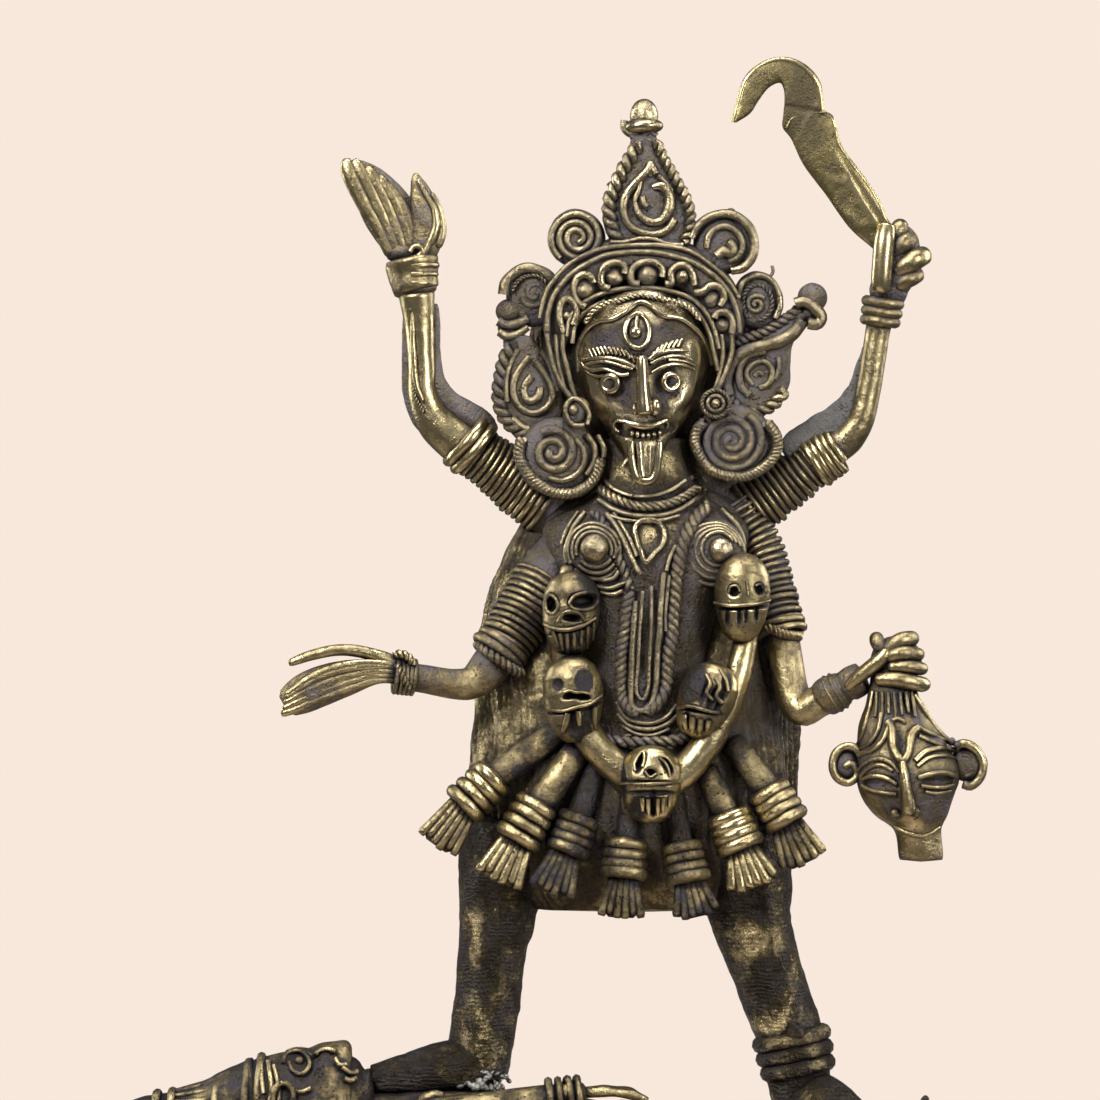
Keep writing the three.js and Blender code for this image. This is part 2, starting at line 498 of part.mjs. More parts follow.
// Shiva on his back, his head to the left and his face up, on the plate.
function shiva() {
  const lie = (stations, options) => tube(stations, { across: ACROSS_UP, ...options });
  const head = [[drawn.topknotX, -8, 8.6, 4.6], [-127, -8, 9, 6.8, 2],
    [-112, -8, 10.6, 8.4, 2], [-103, -8, 13, 10.6],
    [-95, -8, 14.4, 12.8], [-87, -8, 14.8, 13.2], [-79, -8, 15, 12.6],
    [-73, -8, 14.4, 9.6], [-69, -8, 13, 5.6]];
  const torso = [[-74, -6, 9, 8], [-66, -4, 8, 12], [-56, -3, 7.4, 14.6], [-40, -3, 7, 14.4],
    [-22, -3, 6.4, 12.6],
    [-6, -3, 5, 12], [6, -3, 4, 10.6]];
  const nearArm = [[-64, -17, 9, 6.4], [-54, -21, 8, 5.6], [-44, -20.4, 11, 5], [-32, -17.6, 14, 5],
    [-24, -15.8, 16, 5.6, 2], [-18, -15, 16, 5.4], [-12, -14.6, 16, 6], [-3, -14, 14, 4.8]];
  const farArm = [[-64, 10, 8, 6], [-52, 17, 6.4, 5.4], [-38, 19, 5.4, 4.6],
    [-24, 18, 5, 4.2], [-13, 17, 4.4, 3.4]];
  const leg = (y, spread) => [
    [-6, y, 5, 8.4], [10, y + spread, 4.6, 7.4], [28, y + 1.5 * spread, 4.4, 6.4],
    [34, y + 1.6 * spread, 4.6, 6.6],
    [48, y + 1.7 * spread, 4, 5.4], [66, y + 1.8 * spread, 3, 4], [71, y + 1.8 * spread, 3, 4.6],
  ];
  const foot = (y) => tube([[70, y, 0, 4.4], [72.6, y, 5, 4.4], [74, y, 10.6, 3]], { sides: 6 });
  const man = joined([
    lie(head, { sides: 8, height: 0.1 }),
    tube([[-84, -8, 26, 2.4], [-77.4, -8, 28.2, 2.2], [-74.4, -8, 24.4, 2]], { sides: 4 }),
    tube([[-74.4, -8, 23, 2.6], [-71, -8, 22.4, 2.4], [-68.4, -8, 19, 2]], { sides: 4 }),
    lie(torso, { sides: 8, section: flat(0.68) }),
    lie(nearArm, { section: fanned(0.7, 3, 0.5) }),
    lie(farArm, { sides: 5 }),
    lie(leg(-10, -2.6)),
    lie(leg(4, 2.2)),
    foot(-14.6),
    foot(8),
  ]);
  const chest = block([-50, -1], [44, 18], drawn.chestTop, 1);
  const thigh = block([46, -4], [30, 30], drawn.thighTop, 1);
  return man.subtract(joined([chest, thigh]));
}

const CORNER_STEPS = 3;

// The low plate with a bead round its top edge, drawn about its own middle.
function plate(length) {
  const [halfLength, halfWidth] = [length / 2, PLATE_WIDTH / 2];
  const outline = new THREE.Shape();
  const corners = [[1, -1], [1, 1], [-1, 1], [-1, -1]];
  corners.forEach(([a, b], i) => {
    const x = a * (halfLength - PLATE_CORNER);
    const y = b * (halfWidth - PLATE_CORNER);
    outline.absarc(x, y, PLATE_CORNER, rad(90 * i - 90), rad(90 * i), false);
  });
  const slab = new THREE.ExtrudeGeometry(outline, {
    depth: PLATE_THICKNESS, bevelEnabled: false, curveSegments: CORNER_STEPS,
  });
  slab.translate(0, 0, -PLATE_THICKNESS);
  const rim = outline.getPoints(CORNER_STEPS).map((spot) => new THREE.Vector3(spot.x, spot.y, 0));
  const inset = rim.map((spot) => spot.clone().multiply(
    new THREE.Vector3(1 - PLATE_BEAD / halfLength, 1 - PLATE_BEAD / halfWidth, 1)));
  const bead = sweepRing(inset, PLATE_BEAD);
  return joined([solid(slab), bead]);
}

// A closed ring of round section through level points.
function sweepRing(spots, radius, sides = 6) {
  const ring = new THREE.TorusGeometry(1, 0.25, sides, spots.length);
  const position = ring.getAttribute("position");
  const corner = new THREE.Vector3();
  for (let i = 0; i < position.count; i += 1) {
    corner.fromBufferAttribute(position, i);
    const place = Math.round(
      (Math.atan2(corner.y, corner.x) / TURN) * spots.length + spots.length) % spots.length;
    const [before, here, after] = [-1, 0, 1].map((n) => spots[(place + n + spots.length) % spots.length]);
    const out = after.clone().sub(before).normalize().cross(ACROSS_UP);
    const [wide, high] = [(Math.hypot(corner.x, corner.y) - 1) * 4, corner.z * 4];
    const spot = here.clone().addScaledVector(out, wide * radius).setZ(here.z + high * radius);
    position.setXYZ(i, spot.x, spot.y, spot.z);
  }
  return solid(ring);
}

const tolerance = 0.3 * unit;

// A solid as a named mesh, without the slivers of air that overlapping forms can shut in.
function mesh(name, made, material) {
  const whole = joined(made.simplify(tolerance).decompose().filter((body) => body.volume() > 0));
  const { vertProperties, triVerts, numProp } = whole.getMesh();
  const geometry = new THREE.BufferGeometry();
  const positions = new THREE.InterleavedBuffer(vertProperties, numProp);
  geometry.setAttribute("position", new THREE.InterleavedBufferAttribute(positions, 3, 0));
  geometry.setIndex(new THREE.BufferAttribute(triVerts, 1));
  const piece = new THREE.Mesh(geometry, material);
  piece.name = name;
  return piece;
}

const brass = new THREE.MeshStandardMaterial({ color: 0x8f7840, roughness: 0.42, metalness: 0.9 });

const plateLength = (drawn.toesX - drawn.topknotX) * unit + 2 * PLATE_MARGIN;
const kaliX = (-(drawn.toesX + drawn.topknotX) / 2) * unit;
const kaliY = KALI_FROM_FRONT - PLATE_WIDTH / 2;
const base = joined([plate(plateLength).translate([-kaliX, -kaliY, 0]), shiva()]);

const figure = new THREE.Group();
figure.position.set(kaliX, kaliY, PLATE_THICKNESS);
figure.add(mesh("kali_figure", kali(), brass), mesh("shiva_on_plate", base, brass));

export default new THREE.Group().add(figure);
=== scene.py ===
"""A cast brass Kali on Shiva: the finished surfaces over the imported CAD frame.

Every form is written in the figure's own millimetres, x to the viewer's right, y away from the viewer and z up
from the plate's top on her centreline, and laid into the frame by Casting. A path is often written as a string
of spots: "x,y,z,radius x,y,z,radius" in those millimetres or, where it is laid on a ground, "across,down,radius"
in pixels measured on the photograph. Casting.wires takes several such paths in one string.
"""
from __future__ import annotations

import logging
from dataclasses import dataclass, field
from enum import Enum
from functools import cached_property
from math import cos, pi, radians, sin, sqrt
from typing import Callable, Sequence

import bmesh  # noqa: E402
import bpy  # noqa: E402
import numpy as np  # noqa: E402
from mathutils import Matrix, Vector  # noqa: E402


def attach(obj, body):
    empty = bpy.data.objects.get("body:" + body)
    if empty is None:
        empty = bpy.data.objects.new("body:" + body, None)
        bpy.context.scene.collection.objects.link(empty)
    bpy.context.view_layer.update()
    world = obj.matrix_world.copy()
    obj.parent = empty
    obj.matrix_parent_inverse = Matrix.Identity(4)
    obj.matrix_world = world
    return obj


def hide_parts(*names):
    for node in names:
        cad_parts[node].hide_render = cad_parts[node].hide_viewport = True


LOG = logging.getLogger("kali")

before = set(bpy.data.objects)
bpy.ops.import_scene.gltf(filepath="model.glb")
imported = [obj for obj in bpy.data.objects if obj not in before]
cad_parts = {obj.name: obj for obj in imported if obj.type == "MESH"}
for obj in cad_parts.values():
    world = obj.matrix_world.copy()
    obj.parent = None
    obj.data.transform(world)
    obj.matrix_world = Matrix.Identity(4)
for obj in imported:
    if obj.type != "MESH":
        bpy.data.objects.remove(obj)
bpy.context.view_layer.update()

MM = 0.001
FIGURE_ORIGIN = np.array([28.0, 2.0, 7.8])
PHOTO_MM = 0.26
PHOTO_X, PHOTO_Y = 640, 1150
TURN = 2 * pi
BACK = np.array([0.0, 1.0, 0.0])
UP = np.array([0.0, 0.0, 1.0])

Array = np.ndarray
Form = bpy.types.Object
Finish = bpy.types.Material
Socket = bpy.types.NodeSocket
Spot = Sequence[float]
Path = str | Sequence[Spot]
Depth = Callable[[float, float], float]
Place = Callable[[Array, Array], Array]


# Paths and sections


def lumps(spots: Array, seed: float = 0.0) -> Array:
    """Soft noise, from about -1 to 1, at rows of positions that are one unit a lump."""
    base = np.floor(spots)
    part = spots - base
    part = part * part * (3 - 2 * part)
    total = np.zeros(len(spots))
    for corner in np.ndindex(2, 2, 2):
        mixed = np.sin((base + corner) @ np.array([127.1, 311.7, 74.7]) + seed) * 43758.5453
        share = np.prod(np.where(corner, part, 1 - part), axis=1)
        total += share * (2 * (mixed - np.floor(mixed)) - 1)
    return total


def rows_of(path: Path) -> Sequence[Spot]:
    """A path's rows of numbers."""
    return [tuple(map(float, row.split(","))) for row in path.split()] if isinstance(path, str) else path


def traced(path: str) -> list[Spot]:
    """Turns a path of pixels across, down and perhaps a radius into millimetres x, z and the radius."""
    return [((x - PHOTO_X) * PHOTO_MM, (PHOTO_Y - y) * PHOTO_MM, *(r * PHOTO_MM for r in rest)) for x, y,
        *rest in rows_of(path)]


def on(ground: Depth | float, path: Path, lift: float = 0.0) -> list[Spot]:
    """Lays a path on a ground.

    Args:
        ground: The ground's y, or what gives it at x and z.
        path: Pixels on the photograph, or rows of x, z and any further values.
        lift: How far it stands off the ground.

    Returns:
        Rows of x, y, z and the further values.
    """
    depth = ground if callable(ground) else lambda x, z: ground
    rows = traced(path) if isinstance(path, str) else path
    return [(x, depth(x, z) - lift, z, *rest) for x, z, *rest in rows]


def spline(path: Path, step: float = 1.0, closed: bool = False) -> Array:
    """Runs a smooth line through a path.

    Args:
        path: Rows of x, y, z and any further values, such as a radius, which are carried along.
        step: The distance between points, in millimetres.
        closed: Whether the line returns to its start.

    Returns:
        Evenly spaced points, one row each.
    """
    rows = np.array(rows_of(path), float)
    if closed:
        rows = np.vstack([rows[-2:], rows, rows[:3]])
    gaps = np.sqrt(np.maximum(np.linalg.norm(np.diff(rows[:, :3], axis=0), axis=1), 1e-6))
    knots = np.concatenate([[0], np.cumsum(gaps)])
    slopes = np.diff(rows, axis=0) / gaps[:, None]
    tangents = np.vstack([slopes[:1], np.zeros((len(rows) - 2, rows.shape[1])), slopes[-1:]])
    before, after = gaps[:-1, None], gaps[1:, None]
    tangents[1:-1] = (slopes[:-1] * after + slopes[1:] * before) / (before + after)
    first, last = (2, len(rows) - 3) if closed else (0, len(rows) - 1)
    fine = np.linspace(knots[first], knots[last], 40 * (last - first) + 1)
    span = np.clip(np.searchsorted(knots, fine, side="right") - 1, 0, len(gaps) - 1)
    h = gaps[span][:, None]
    u = ((fine - knots[span]) / gaps[span])[:, None]
    line = ((2 * u**3 - 3 * u**2 + 1) * rows[span] + (u**3 - 2 * u**2 + u) * h * tangents[span] + (3 * u**2 - 2
        * u**3) * rows[span + 1] + (u**3 - u**2) * h * tangents[span + 1])
    length = np.concatenate([[0], np.cumsum(np.linalg.norm(np.diff(line[:, :3], axis=0), axis=1))])
    places = np.linspace(0, length[-1], max(3, int(round(length[-1] / step)) + 1))
    even = np.stack([np.interp(places, length, line[:, n]) for n in range(rows.shape[1])], axis=1)
    return even[:-1] if closed else even


def along(line: Array, shares: Array) -> Array:
    """A line's rows at shares of the way through its points, from 0 to 1."""
    places = shares * (len(line) - 1)
    return np.stack([np.interp(places, np.arange(len(line)), column) for column in line.T], axis=1)


def frames(line: Array, across: Array = BACK) -> tuple[Array, Array]:
    """Unit depth and width directions of the sections along a line, the depth kept close to across."""
    tangent = np.gradient(line[:, :3], axis=0)
    tangent /= np.maximum(np.linalg.norm(tangent, axis=1), 1e-9)[:, None]
    depth = across - tangent * (tangent @ across)[:, None]
    depth /= np.maximum(np.linalg.norm(depth, axis=1), 1e-9)[:, None]
    return depth, np.cross(tangent, depth)


def spiral(centre: Spot, outer: float, inner: float, turns: float, start: float, hand: int = 1) -> list[Spot]:
    """A flat spiral that faces the viewer and winds inwards.

    Args:
        centre: Its middle.
        outer: Its first radius.
        inner: Its last radius.
        turns: How many times it goes round.
        start: The angle of its outer end, in degrees.
        hand: 1 to wind from +x towards +z, -1 for the other way.

    Returns:
        Its spots.
    """
    shares = np.linspace(0, 1, max(8, int(16 * turns)) + 1)
    out = outer + (inner - outer) * shares
    angle = radians(start) + hand * TURN * turns * shares
    return [(centre[0] + r * cos(a), centre[1], centre[2] + r * sin(a)) for r, a in zip(out, angle)]


def arc(centre: Spot, radius: float, start: float, end: float, count: int = 24) -> list[Spot]:
    """An arc that faces the viewer, with its angles in degrees from +x towards +z."""
    return [(centre[0] + radius * cos(a), centre[1], centre[2] + radius * sin(a)) for a in np.radians(np.linspace(
        start, end, count))]


@dataclass(frozen=True)
class Levels:
    """An upright form's level rings, each z, x, y, half width, half depth."""

    rings: str

    @cached_property
    def fine(self) -> Array:
        """The rings, run smoothly through."""
        return spline(np.array(rows_of(self.rings))[:, [1, 2, 0, 3, 4]], 0.5)

    def at(self, z: Array) -> tuple[Array, ...]:
        """The form's x, y, half width and half depth at heights z."""
        return tuple(np.interp(z, self.fine[:, 2], self.fine[:, n]) for n in (0, 1, 3, 4))

    def front(self, x: float, z: float) -> float:
        """The y of the form's front at x and z."""
        middle, y, wide, deep = (float(v) for v in self.at(np.array(z, float)))
        return y - deep * sqrt(max(0, 1 - ((x - middle) / wide) ** 2))


class Lay(Enum):
    """How a rope's strands turn."""

    RIGHT = 1
    LEFT = -1


def held(v: Array) -> Array:
    """1 along a form and 0 at its two closed ends."""
    return np.where((v <= 0) | (v >= 1), 0, 1)


def circle(count: int) -> Array:
    """The angles of count spots round a circle."""
    return np.linspace(0, TURN, count + 1)[:-1]


def signed(wave: Array, power: float) -> Array:
    """A wave's size raised to a power, with its sign kept."""
    return np.sign(wave) * np.abs(wave) ** power


# Meshes


def added(make: Callable, **options: object) -> Form:
    """Adds an object with one of Blender's tools, nothing else being selected."""
    bpy.ops.object.select_all(action="DESELECT")
    make(**options)
    return bpy.context.object


def read(items: bpy.types.bpy_prop_collection, name: str, width: int) -> Array:
    """Reads an attribute of a mesh's items as rows of width values."""
    flat = np.empty(len(items) * width)
    items.foreach_get(name, flat)
    return flat.reshape(-1, width)


def spots_of(form: Form) -> Array:
    """A form's vertices, in the figure's millimetres."""
    return read(form.data.vertices, "co", 3) / MM - FIGURE_ORIGIN


def move(form: Form, spots: Array) -> None:
    """Moves a form's vertices to spots in the figure's millimetres."""
    form.data.vertices.foreach_set("co", ((spots + FIGURE_ORIGIN) * MM).astype(np.float32).ravel())
    form.data.update()


def roughen(form: Form, amount: float, size: float = 5.0) -> None:
    """Moves a form's surface by up to amount, with soft noise of lumps size wide, as wax modelled by hand."""
    spots = read(form.data.vertices, "co", 3) / MM
    normals = read(form.data.vertex_normals, "vector", 3)
    lift = 0.65 * lumps(spots / size) + 0.35 * lumps(spots / size * 2.7, 5)
    move(form, spots + normals * (lift * amount)[:, None] - FIGURE_ORIGIN)


@dataclass
class Casting:
    """Gathers the wax forms and threads of one piece and casts them as one mesh.

    Attributes:
        name: The piece's name.
        node: The CAD node that it stands for.
        forms: The meshes made so far.
        threads: Strands by their wear and sides, each as points, radii and whether it closes on itself.
    """

    name: str
    node: str = "kali_figure"
    forms: list[Form] = field(default_factory=list)
    threads: dict[tuple[float, int], list[tuple[Array, Array, bool]]] = field(default_factory=dict)

    def skin(self, place: Place, sides: int, steps: int, wear_and_light: float, rough: float = 0.0) -> Form:
        """Wraps a grid round into a closed form.

        Args:
            place: Gives positions for u round the form and v along it, both from 0 to 1.
            sides: Faces round the form.
            steps: Faces along it.
            wear_and_light: How brightly it is rubbed, from 0 to 1.
            rough: How far noise moves its surface, in millimetres.

        Returns:
            The form.
        """
        form = added(bpy.ops.mesh.primitive_grid_add, x_subdivisions=sides, y_subdivisions=steps, size=1)
        flat = read(form.data.vertices, "co", 3)
        u, v = np.round((flat[:, 0] + 0.5) * sides) / sides, np.round((flat[:, 1] + 0.5) * steps) / steps
        move(form, place(np.where(u >= 1, 0, u), v))
        bpy.ops.object.mode_set(mode="EDIT")
        bpy.ops.mesh.select_all(action="SELECT")
        bpy.ops.mesh.remove_doubles(threshold=1e-6)
        bpy.ops.mesh.fill_holes(sides=0)
        bpy.ops.mesh.normals_make_consistent(inside=False)
        bpy.ops.object.mode_set(mode="OBJECT")
        if rough:
            roughen(form, rough)
        return self.keep(form, wear_and_light)

    def keep(self, form: Form, wear_and_light: float) -> Form:
        """Marks a form with how brightly it is rubbed, a value that some marks also use for painted light and shade,
        and adds it to the piece.
        """
        marks = form.data.attributes.new("wear_and_light", "FLOAT", "POINT")
        marks.data.foreach_set("value", np.full(len(form.data.vertices), wear_and_light, np.float32))
        form.data.polygons.foreach_set("use_smooth", np.ones(len(form.data.polygons), bool))
        self.forms.append(form)
        return form

    def stack(self, levels: Levels, wear_and_light: float, sides: int = 64, step: float = 1.6, rough: float = 0.3,
            swell: Callable[[Array, Array], Array] | None = None) -> Form:
        """Skins level rings into an upright form with rounded ends.

        Args:
            levels: The rings.
            wear_and_light: How brightly it is rubbed.
            sides: Faces round it.
            step: The height of a face.
            rough: How far noise moves its surface.
            swell: Gives a factor on the ring at an angle and height, to carve it.

        Returns:
            The form.
        """
        low, high = (rows_of(levels.rings)[n][0] for n in (0, -1))

        def place(u: Array, v: Array) -> Array:
            """Positions on the rings."""
            z = low + (high - low) * v
            x, y, wide, deep = levels.at(z)
            angle = TURN * u
            rim = held(v)
            out = rim if swell is None else rim * swell(angle, z)
            return np.stack([x + wide * out * np.cos(angle), y + deep * out * np.sin(angle), z], axis=1)

        return self.skin(place, sides, int((high - low) / step), wear_and_light, rough)

    def limb(self, path: Path, wear_and_light: float, sides: int = 24, step: float = 1.2, deep: float = 1.0,
            across: Array = BACK, rough: float = 0.15) -> Form:
        """Skins a round or flattened tube.

        Args:
            path: Its stations x, y, z, radius.
            wear_and_light: How brightly it is rubbed.
            sides: Faces round it.
            step: The length of a face.
            deep: Its section's depth as a share of its width.
            across: The direction that the section's depth keeps to.
            rough: How far noise moves its surface.

        Returns:
            The form.
        """
        line = spline(path, step)
        depth, width = frames(line, across)
        last = len(line) - 1
        steps = last + 2

        def place(u: Array, v: Array) -> Array:
            """Positions on the tube."""
            ring = np.clip(np.round(v * steps).astype(int) - 1, 0, last)
            end = np.where((ring == 0) | (ring == last), 0.72, 1)
            rim = np.where((v <= 0) | (v >= 1), 0, end) * line[ring, 3]
            near, side = rim * deep * np.cos(TURN * u), rim * np.sin(TURN * u)
            return line[ring, :3] + depth[ring] * near[:, None] + width[ring] * side[:, None]

        return self.skin(place, sides, steps, wear_and_light, rough)

    def ball(self, centre: Spot, radii: Spot, wear_and_light: float, lean: float = 0.0, rough: float = 0.0,
            segments: int = 24) -> Form:
        """An ellipsoid, leaned over in the plane that faces the viewer.

        Args:
            centre: Its middle.
            radii: Its half sizes along x, y and z.
            wear_and_light: How brightly it is rubbed.
            lean: How far it leans to the viewer's right, in degrees.
            rough: How far noise moves its surface.
            segments: Faces round it.

        Returns:
            The form.
        """
        form = added(bpy.ops.mesh.primitive_uv_sphere_add, segments=segments, ring_count=max(8, segments * 2 // 3),
            radius=1)
        place = Matrix.Translation(Vector((np.array(centre, float) + FIGURE_ORIGIN) * MM))
        size = Matrix.Diagonal(Vector([r * MM for r in radii] + [1]))
        form.data.transform(place @ Matrix.Rotation(radians(lean), 4, "Y") @ size)
        if rough:
            roughen(form, rough)
        return self.keep(form, wear_and_light)

    def coin(self, centre: Spot, radii: Spot, wear_and_light: float, lean: float = 0.0, rough: float = 0.25) -> Form:
        """A flat ground with a rounded rim that faces the viewer, given as a ball is."""
        c, s = cos(radians(lean)), sin(radians(lean))

        def place(u: Array, v: Array) -> Array:
            """Positions from the middle of its front, over the rim, to the middle of its back."""
            turn = pi * v
            out = np.where((v <= 0) | (v >= 1), 0, np.sin(turn) ** 0.5)
            side, up = radii[0] * out * np.cos(TURN * u), radii[2] * out * np.sin(TURN * u)
            y = centre[1] - radii[1] * signed(np.cos(turn), 0.7)
            return np.stack([centre[0] + side * c + up * s, y, centre[2] - side * s + up * c], axis=1)

        return self.skin(place, 40, 16, wear_and_light, rough)

    def touch(self, form: Form, marks: Path) -> None:
        """Presses marks into a form's front and changes how they are rubbed, which some marks use to paint light and
        shade.

        Args:
            form: The form.
            marks: Rows of x, z, half width, half height, lean in degrees, depth, and change of rubbing, some of it
                painted light and shade.
        """
        spots = spots_of(form)
        facing = np.clip(-2 * read(form.data.vertex_normals, "vector", 3)[:, 1], 0, 1)
        wear_and_light = read(form.data.attributes["wear_and_light"].data, "value", 1)[:, 0]
        for x, z, wide, high, lean, depth, change in rows_of(marks):
            c, s = cos(radians(lean)), sin(radians(lean))
            across, along = spots[:, 0] - x, spots[:, 2] - z
            reach = ((across * c - along * s) / wide) ** 2 + ((across * s + along * c) / high) ** 2
            share = facing * np.exp(-(reach**2))
            spots[:, 1] += depth * share
            wear_and_light += change * share
        move(form, spots)
        form.data.attributes["wear_and_light"].data.foreach_set("value", wear_and_light.astype(np.float32))

    def wires(self, ground: Depth | float, lines: str, wear_and_light: float = 0.85, lift: float = 0.2) -> None:
        """Lays several threads on a ground, written as "radius: path" with bars between them."""
        for line in lines.split("|"):
            radius, path = line.split(":")
            self.thread(on(ground, path, lift), float(radius), wear_and_light)

    def thread(self, path: Path, radius: float | None = None, wear_and_light: float = 0.8, step: float = 0.7,
            closed: bool = False, sides: int = 3) -> None:
        """Lays a wax thread.

        Args:
            path: Rows of x, y, z, and a radius where none is given.
            radius: The thread's radius.
            wear_and_light: How brightly it is rubbed.
            step: The distance between its points.
            closed: Whether it returns to its start.
            sides: How finely it is rounded.
        """
        rows = [tuple(s)[:3] + (radius,) if radius is not None else tuple(s) for s in rows_of(path)]
        line = spline(rows, step, closed)
        self.strand(line[:, :3], line[:, 3], wear_and_light, closed, sides)

    def strand(self, line: Array, radii: Array, wear_and_light: float, closed: bool, sides: int) -> None:
        """Keeps a strand until the piece is cast, with the waver of a thread laid by hand."""
        sway = np.stack([lumps(line / 4.5, seed) for seed in (1, 2, 3)], axis=1)
        thick = 1 + 0.1 * lumps(line / 2.2, 4)
        self.threads.setdefault((wear_and_light, sides), []).append((line + 0.16 * sway, radii * thick, closed))

    def rope(self, path: Path, radius: float, wear_and_light: float = 0.75, pitch: float = 4.6, lay: Lay = Lay.RIGHT,
            closed: bool = False, across: Array = BACK, strands: int = 2) -> None:
        """Twists strands along a path into a rope.

        Args:
            path: Its spots.
            radius: Its radius.
            wear_and_light: How brightly it is rubbed.
            pitch: The length in which a strand goes round once.
            lay: Which way the strands turn.
            closed: Whether it returns to its start.
            across: The direction that its sections keep to.
            strands: How many strands it has.
        """
        line = spline([tuple(s)[:3] for s in rows_of(path)], pitch / 9, closed)
        depth, width = frames(line, across)
        along = np.concatenate([[0], np.cumsum(np.linalg.norm(np.diff(line, axis=0), axis=1))])
        for n in range(strands):
            angle = lay.value * TURN * along / pitch + TURN * n / strands
            turned = line + radius * 0.5 * (np.cos(angle)[:, None] * depth + np.sin(angle)[:, None] * width)
            self.strand(turned, np.full(len(line), radius * 0.56), wear_and_light, closed, 2)

    def wound(self, stations: Path, turns: float, radius: float, wear_and_light: float, gap: float = 0.2) -> None:
        """Winds wire round a limb.

        Args:
            stations: The limb's stations x, y, z, radius.
            turns: How many times the wire goes round.
            radius: The wire's radius.
            wear_and_light: How brightly it is rubbed.
            gap: How far its middle stands off the limb.
        """
        stations = rows_of(stations)
        base = spline([(x, y, z, r + gap) for x, y, z, r in stations], 0.5)
        count = int(turns * 22)
        line = along(base, np.linspace(0, 1, count + 1))
        depth, width = frames(line)
        angle = TURN * turns * np.linspace(0, 1, count + 1)
        turns_on = np.arange(count + 1) * 0.21
        wobble = lumps(np.stack([turns_on, turns_on * 0 + stations[0][0], turns_on * 0 + stations[0][2]], axis=1))
        out = (line[:, 3] * (1 + 0.05 * wobble))[:, None]
        coil = line[:, :3] + out * (depth * np.cos(angle)[:, None] + width * np.sin(angle)[:, None])
        self.strand(coil, radius * (1 + 0.18 * wobble), wear_and_light, False, 2)

    def rings(self, start: Spot, end: Spot, count: int, radius: float, wear_and_light: float = 0.75) -> None:
        """Sets a bracelet's count rings from start to end, each x, y, z, radius."""
        a, b = np.array(start, float), np.array(end, float)
        axis = (b - a)[:3] / np.linalg.norm((b - a)[:3])
        depth = BACK - axis * (axis @ BACK)
        depth /= np.linalg.norm(depth)
        width = np.cross(axis, depth)
        for n in range(count):
            spot = a + (b - a) * n / max(1, count - 1)
            tilt = 0.1 * float(lumps(np.array([[n * 1.7, a[0], a[2]]]))[0])
            ring = [spot[:3] + spot[3] * (cos(t) * depth + sin(t) * width) + axis * tilt * spot[3] * cos(t) for t
                in circle(44)]
            self.strand(np.array(ring), np.full(44, radius), wear_and_light, True, 2 if radius < 1.2 else 4)

    def cast(self, finish: Finish) -> None:
        """Turns the threads into tubes, joins everything, dresses it and gives it its place in the frame."""
        for (wear_and_light, sides), strands in self.threads.items():
            curve = added(bpy.ops.curve.primitive_nurbs_path_add, radius=1).data
            curve.splines.clear()
            curve.dimensions = "3D"
            curve.bevel_depth = MM
            curve.bevel_resolution = sides - 1
            curve.use_fill_caps = True
            for line, radii, closed in strands:
                run = curve.splines.new("POLY")
                run.points.add(len(line) - 1)
                run.points.foreach_set("co", np.column_stack([(line + FIGURE_ORIGIN) * MM,
                    np.ones(len(line))]).ravel())
                run.points.foreach_set("radius", radii)
                run.use_cyclic_u = closed
            bpy.ops.object.convert(target="MESH")
            self.keep(bpy.context.object, wear_and_light)
        bpy.ops.object.select_all(action="DESELECT")
        for form in self.forms:
            form.select_set(True)
        bpy.context.view_layer.objects.active = self.forms[0]
        if len(self.forms) > 1:
            bpy.ops.object.join()
        piece = bpy.context.object
        bpy.ops.object.transform_apply(location=True, rotation=True, scale=True)
        piece.name = self.name
        piece.data.materials.clear()
        piece.data.materials.append(finish)
        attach(piece, "root")
        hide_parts(self.node)
        piece.data.calc_loop_triangles()
        LOG.info("%s: %d triangles", self.name, len(piece.data.loop_triangles))


# Finishes


class Sock:
    """A value socket with the sums that shader expressions use."""

    def __init__(self, shop: "Shop", socket: Socket) -> None:
        """Wraps a socket of the shop's material."""
        self.shop, self.socket = shop, socket

    def _math(self, operation: str, *values: "Sock | float", clamp: bool = False) -> "Sock":
        """Adds a Math node on values."""
        made = self.shop.add("ShaderNodeMath", {"operation": operation, "use_clamp": clamp}, list(values))
        return Sock(self.shop, made.outputs[0])

    def __add__(self, other: "Sock | float") -> "Sock":
        """self + other."""
        return self._math("ADD", self, other)

    def __mul__(self, other: "Sock | float") -> "Sock":
        """self * other."""
        return self._math("MULTIPLY", self, other)

    def __sub__(self, other: "Sock | float") -> "Sock":
        """self - other."""
        return self._math("SUBTRACT", self, other)

    def __rsub__(self, other: float) -> "Sock":
        """other - self."""
        return self._math("SUBTRACT", other, self)

    __radd__, __rmul__ = __add__, __mul__

    def clamp(self) -> "Sock":
        """self held between 0 and 1."""
        return self._math("ADD", self, 0, clamp=True)

    def spread(self, low: float, high: float) -> "Sock":
        """self stretched smoothly so that low becomes 0 and high becomes 1."""
        made = self.shop.add("ShaderNodeMapRange", {"interpolation_type": "SMOOTHSTEP", "clamp": True},
            {"Value": self, "From Min": low, "From Max": high})
        return Sock(self.shop, made.outputs["Result"])


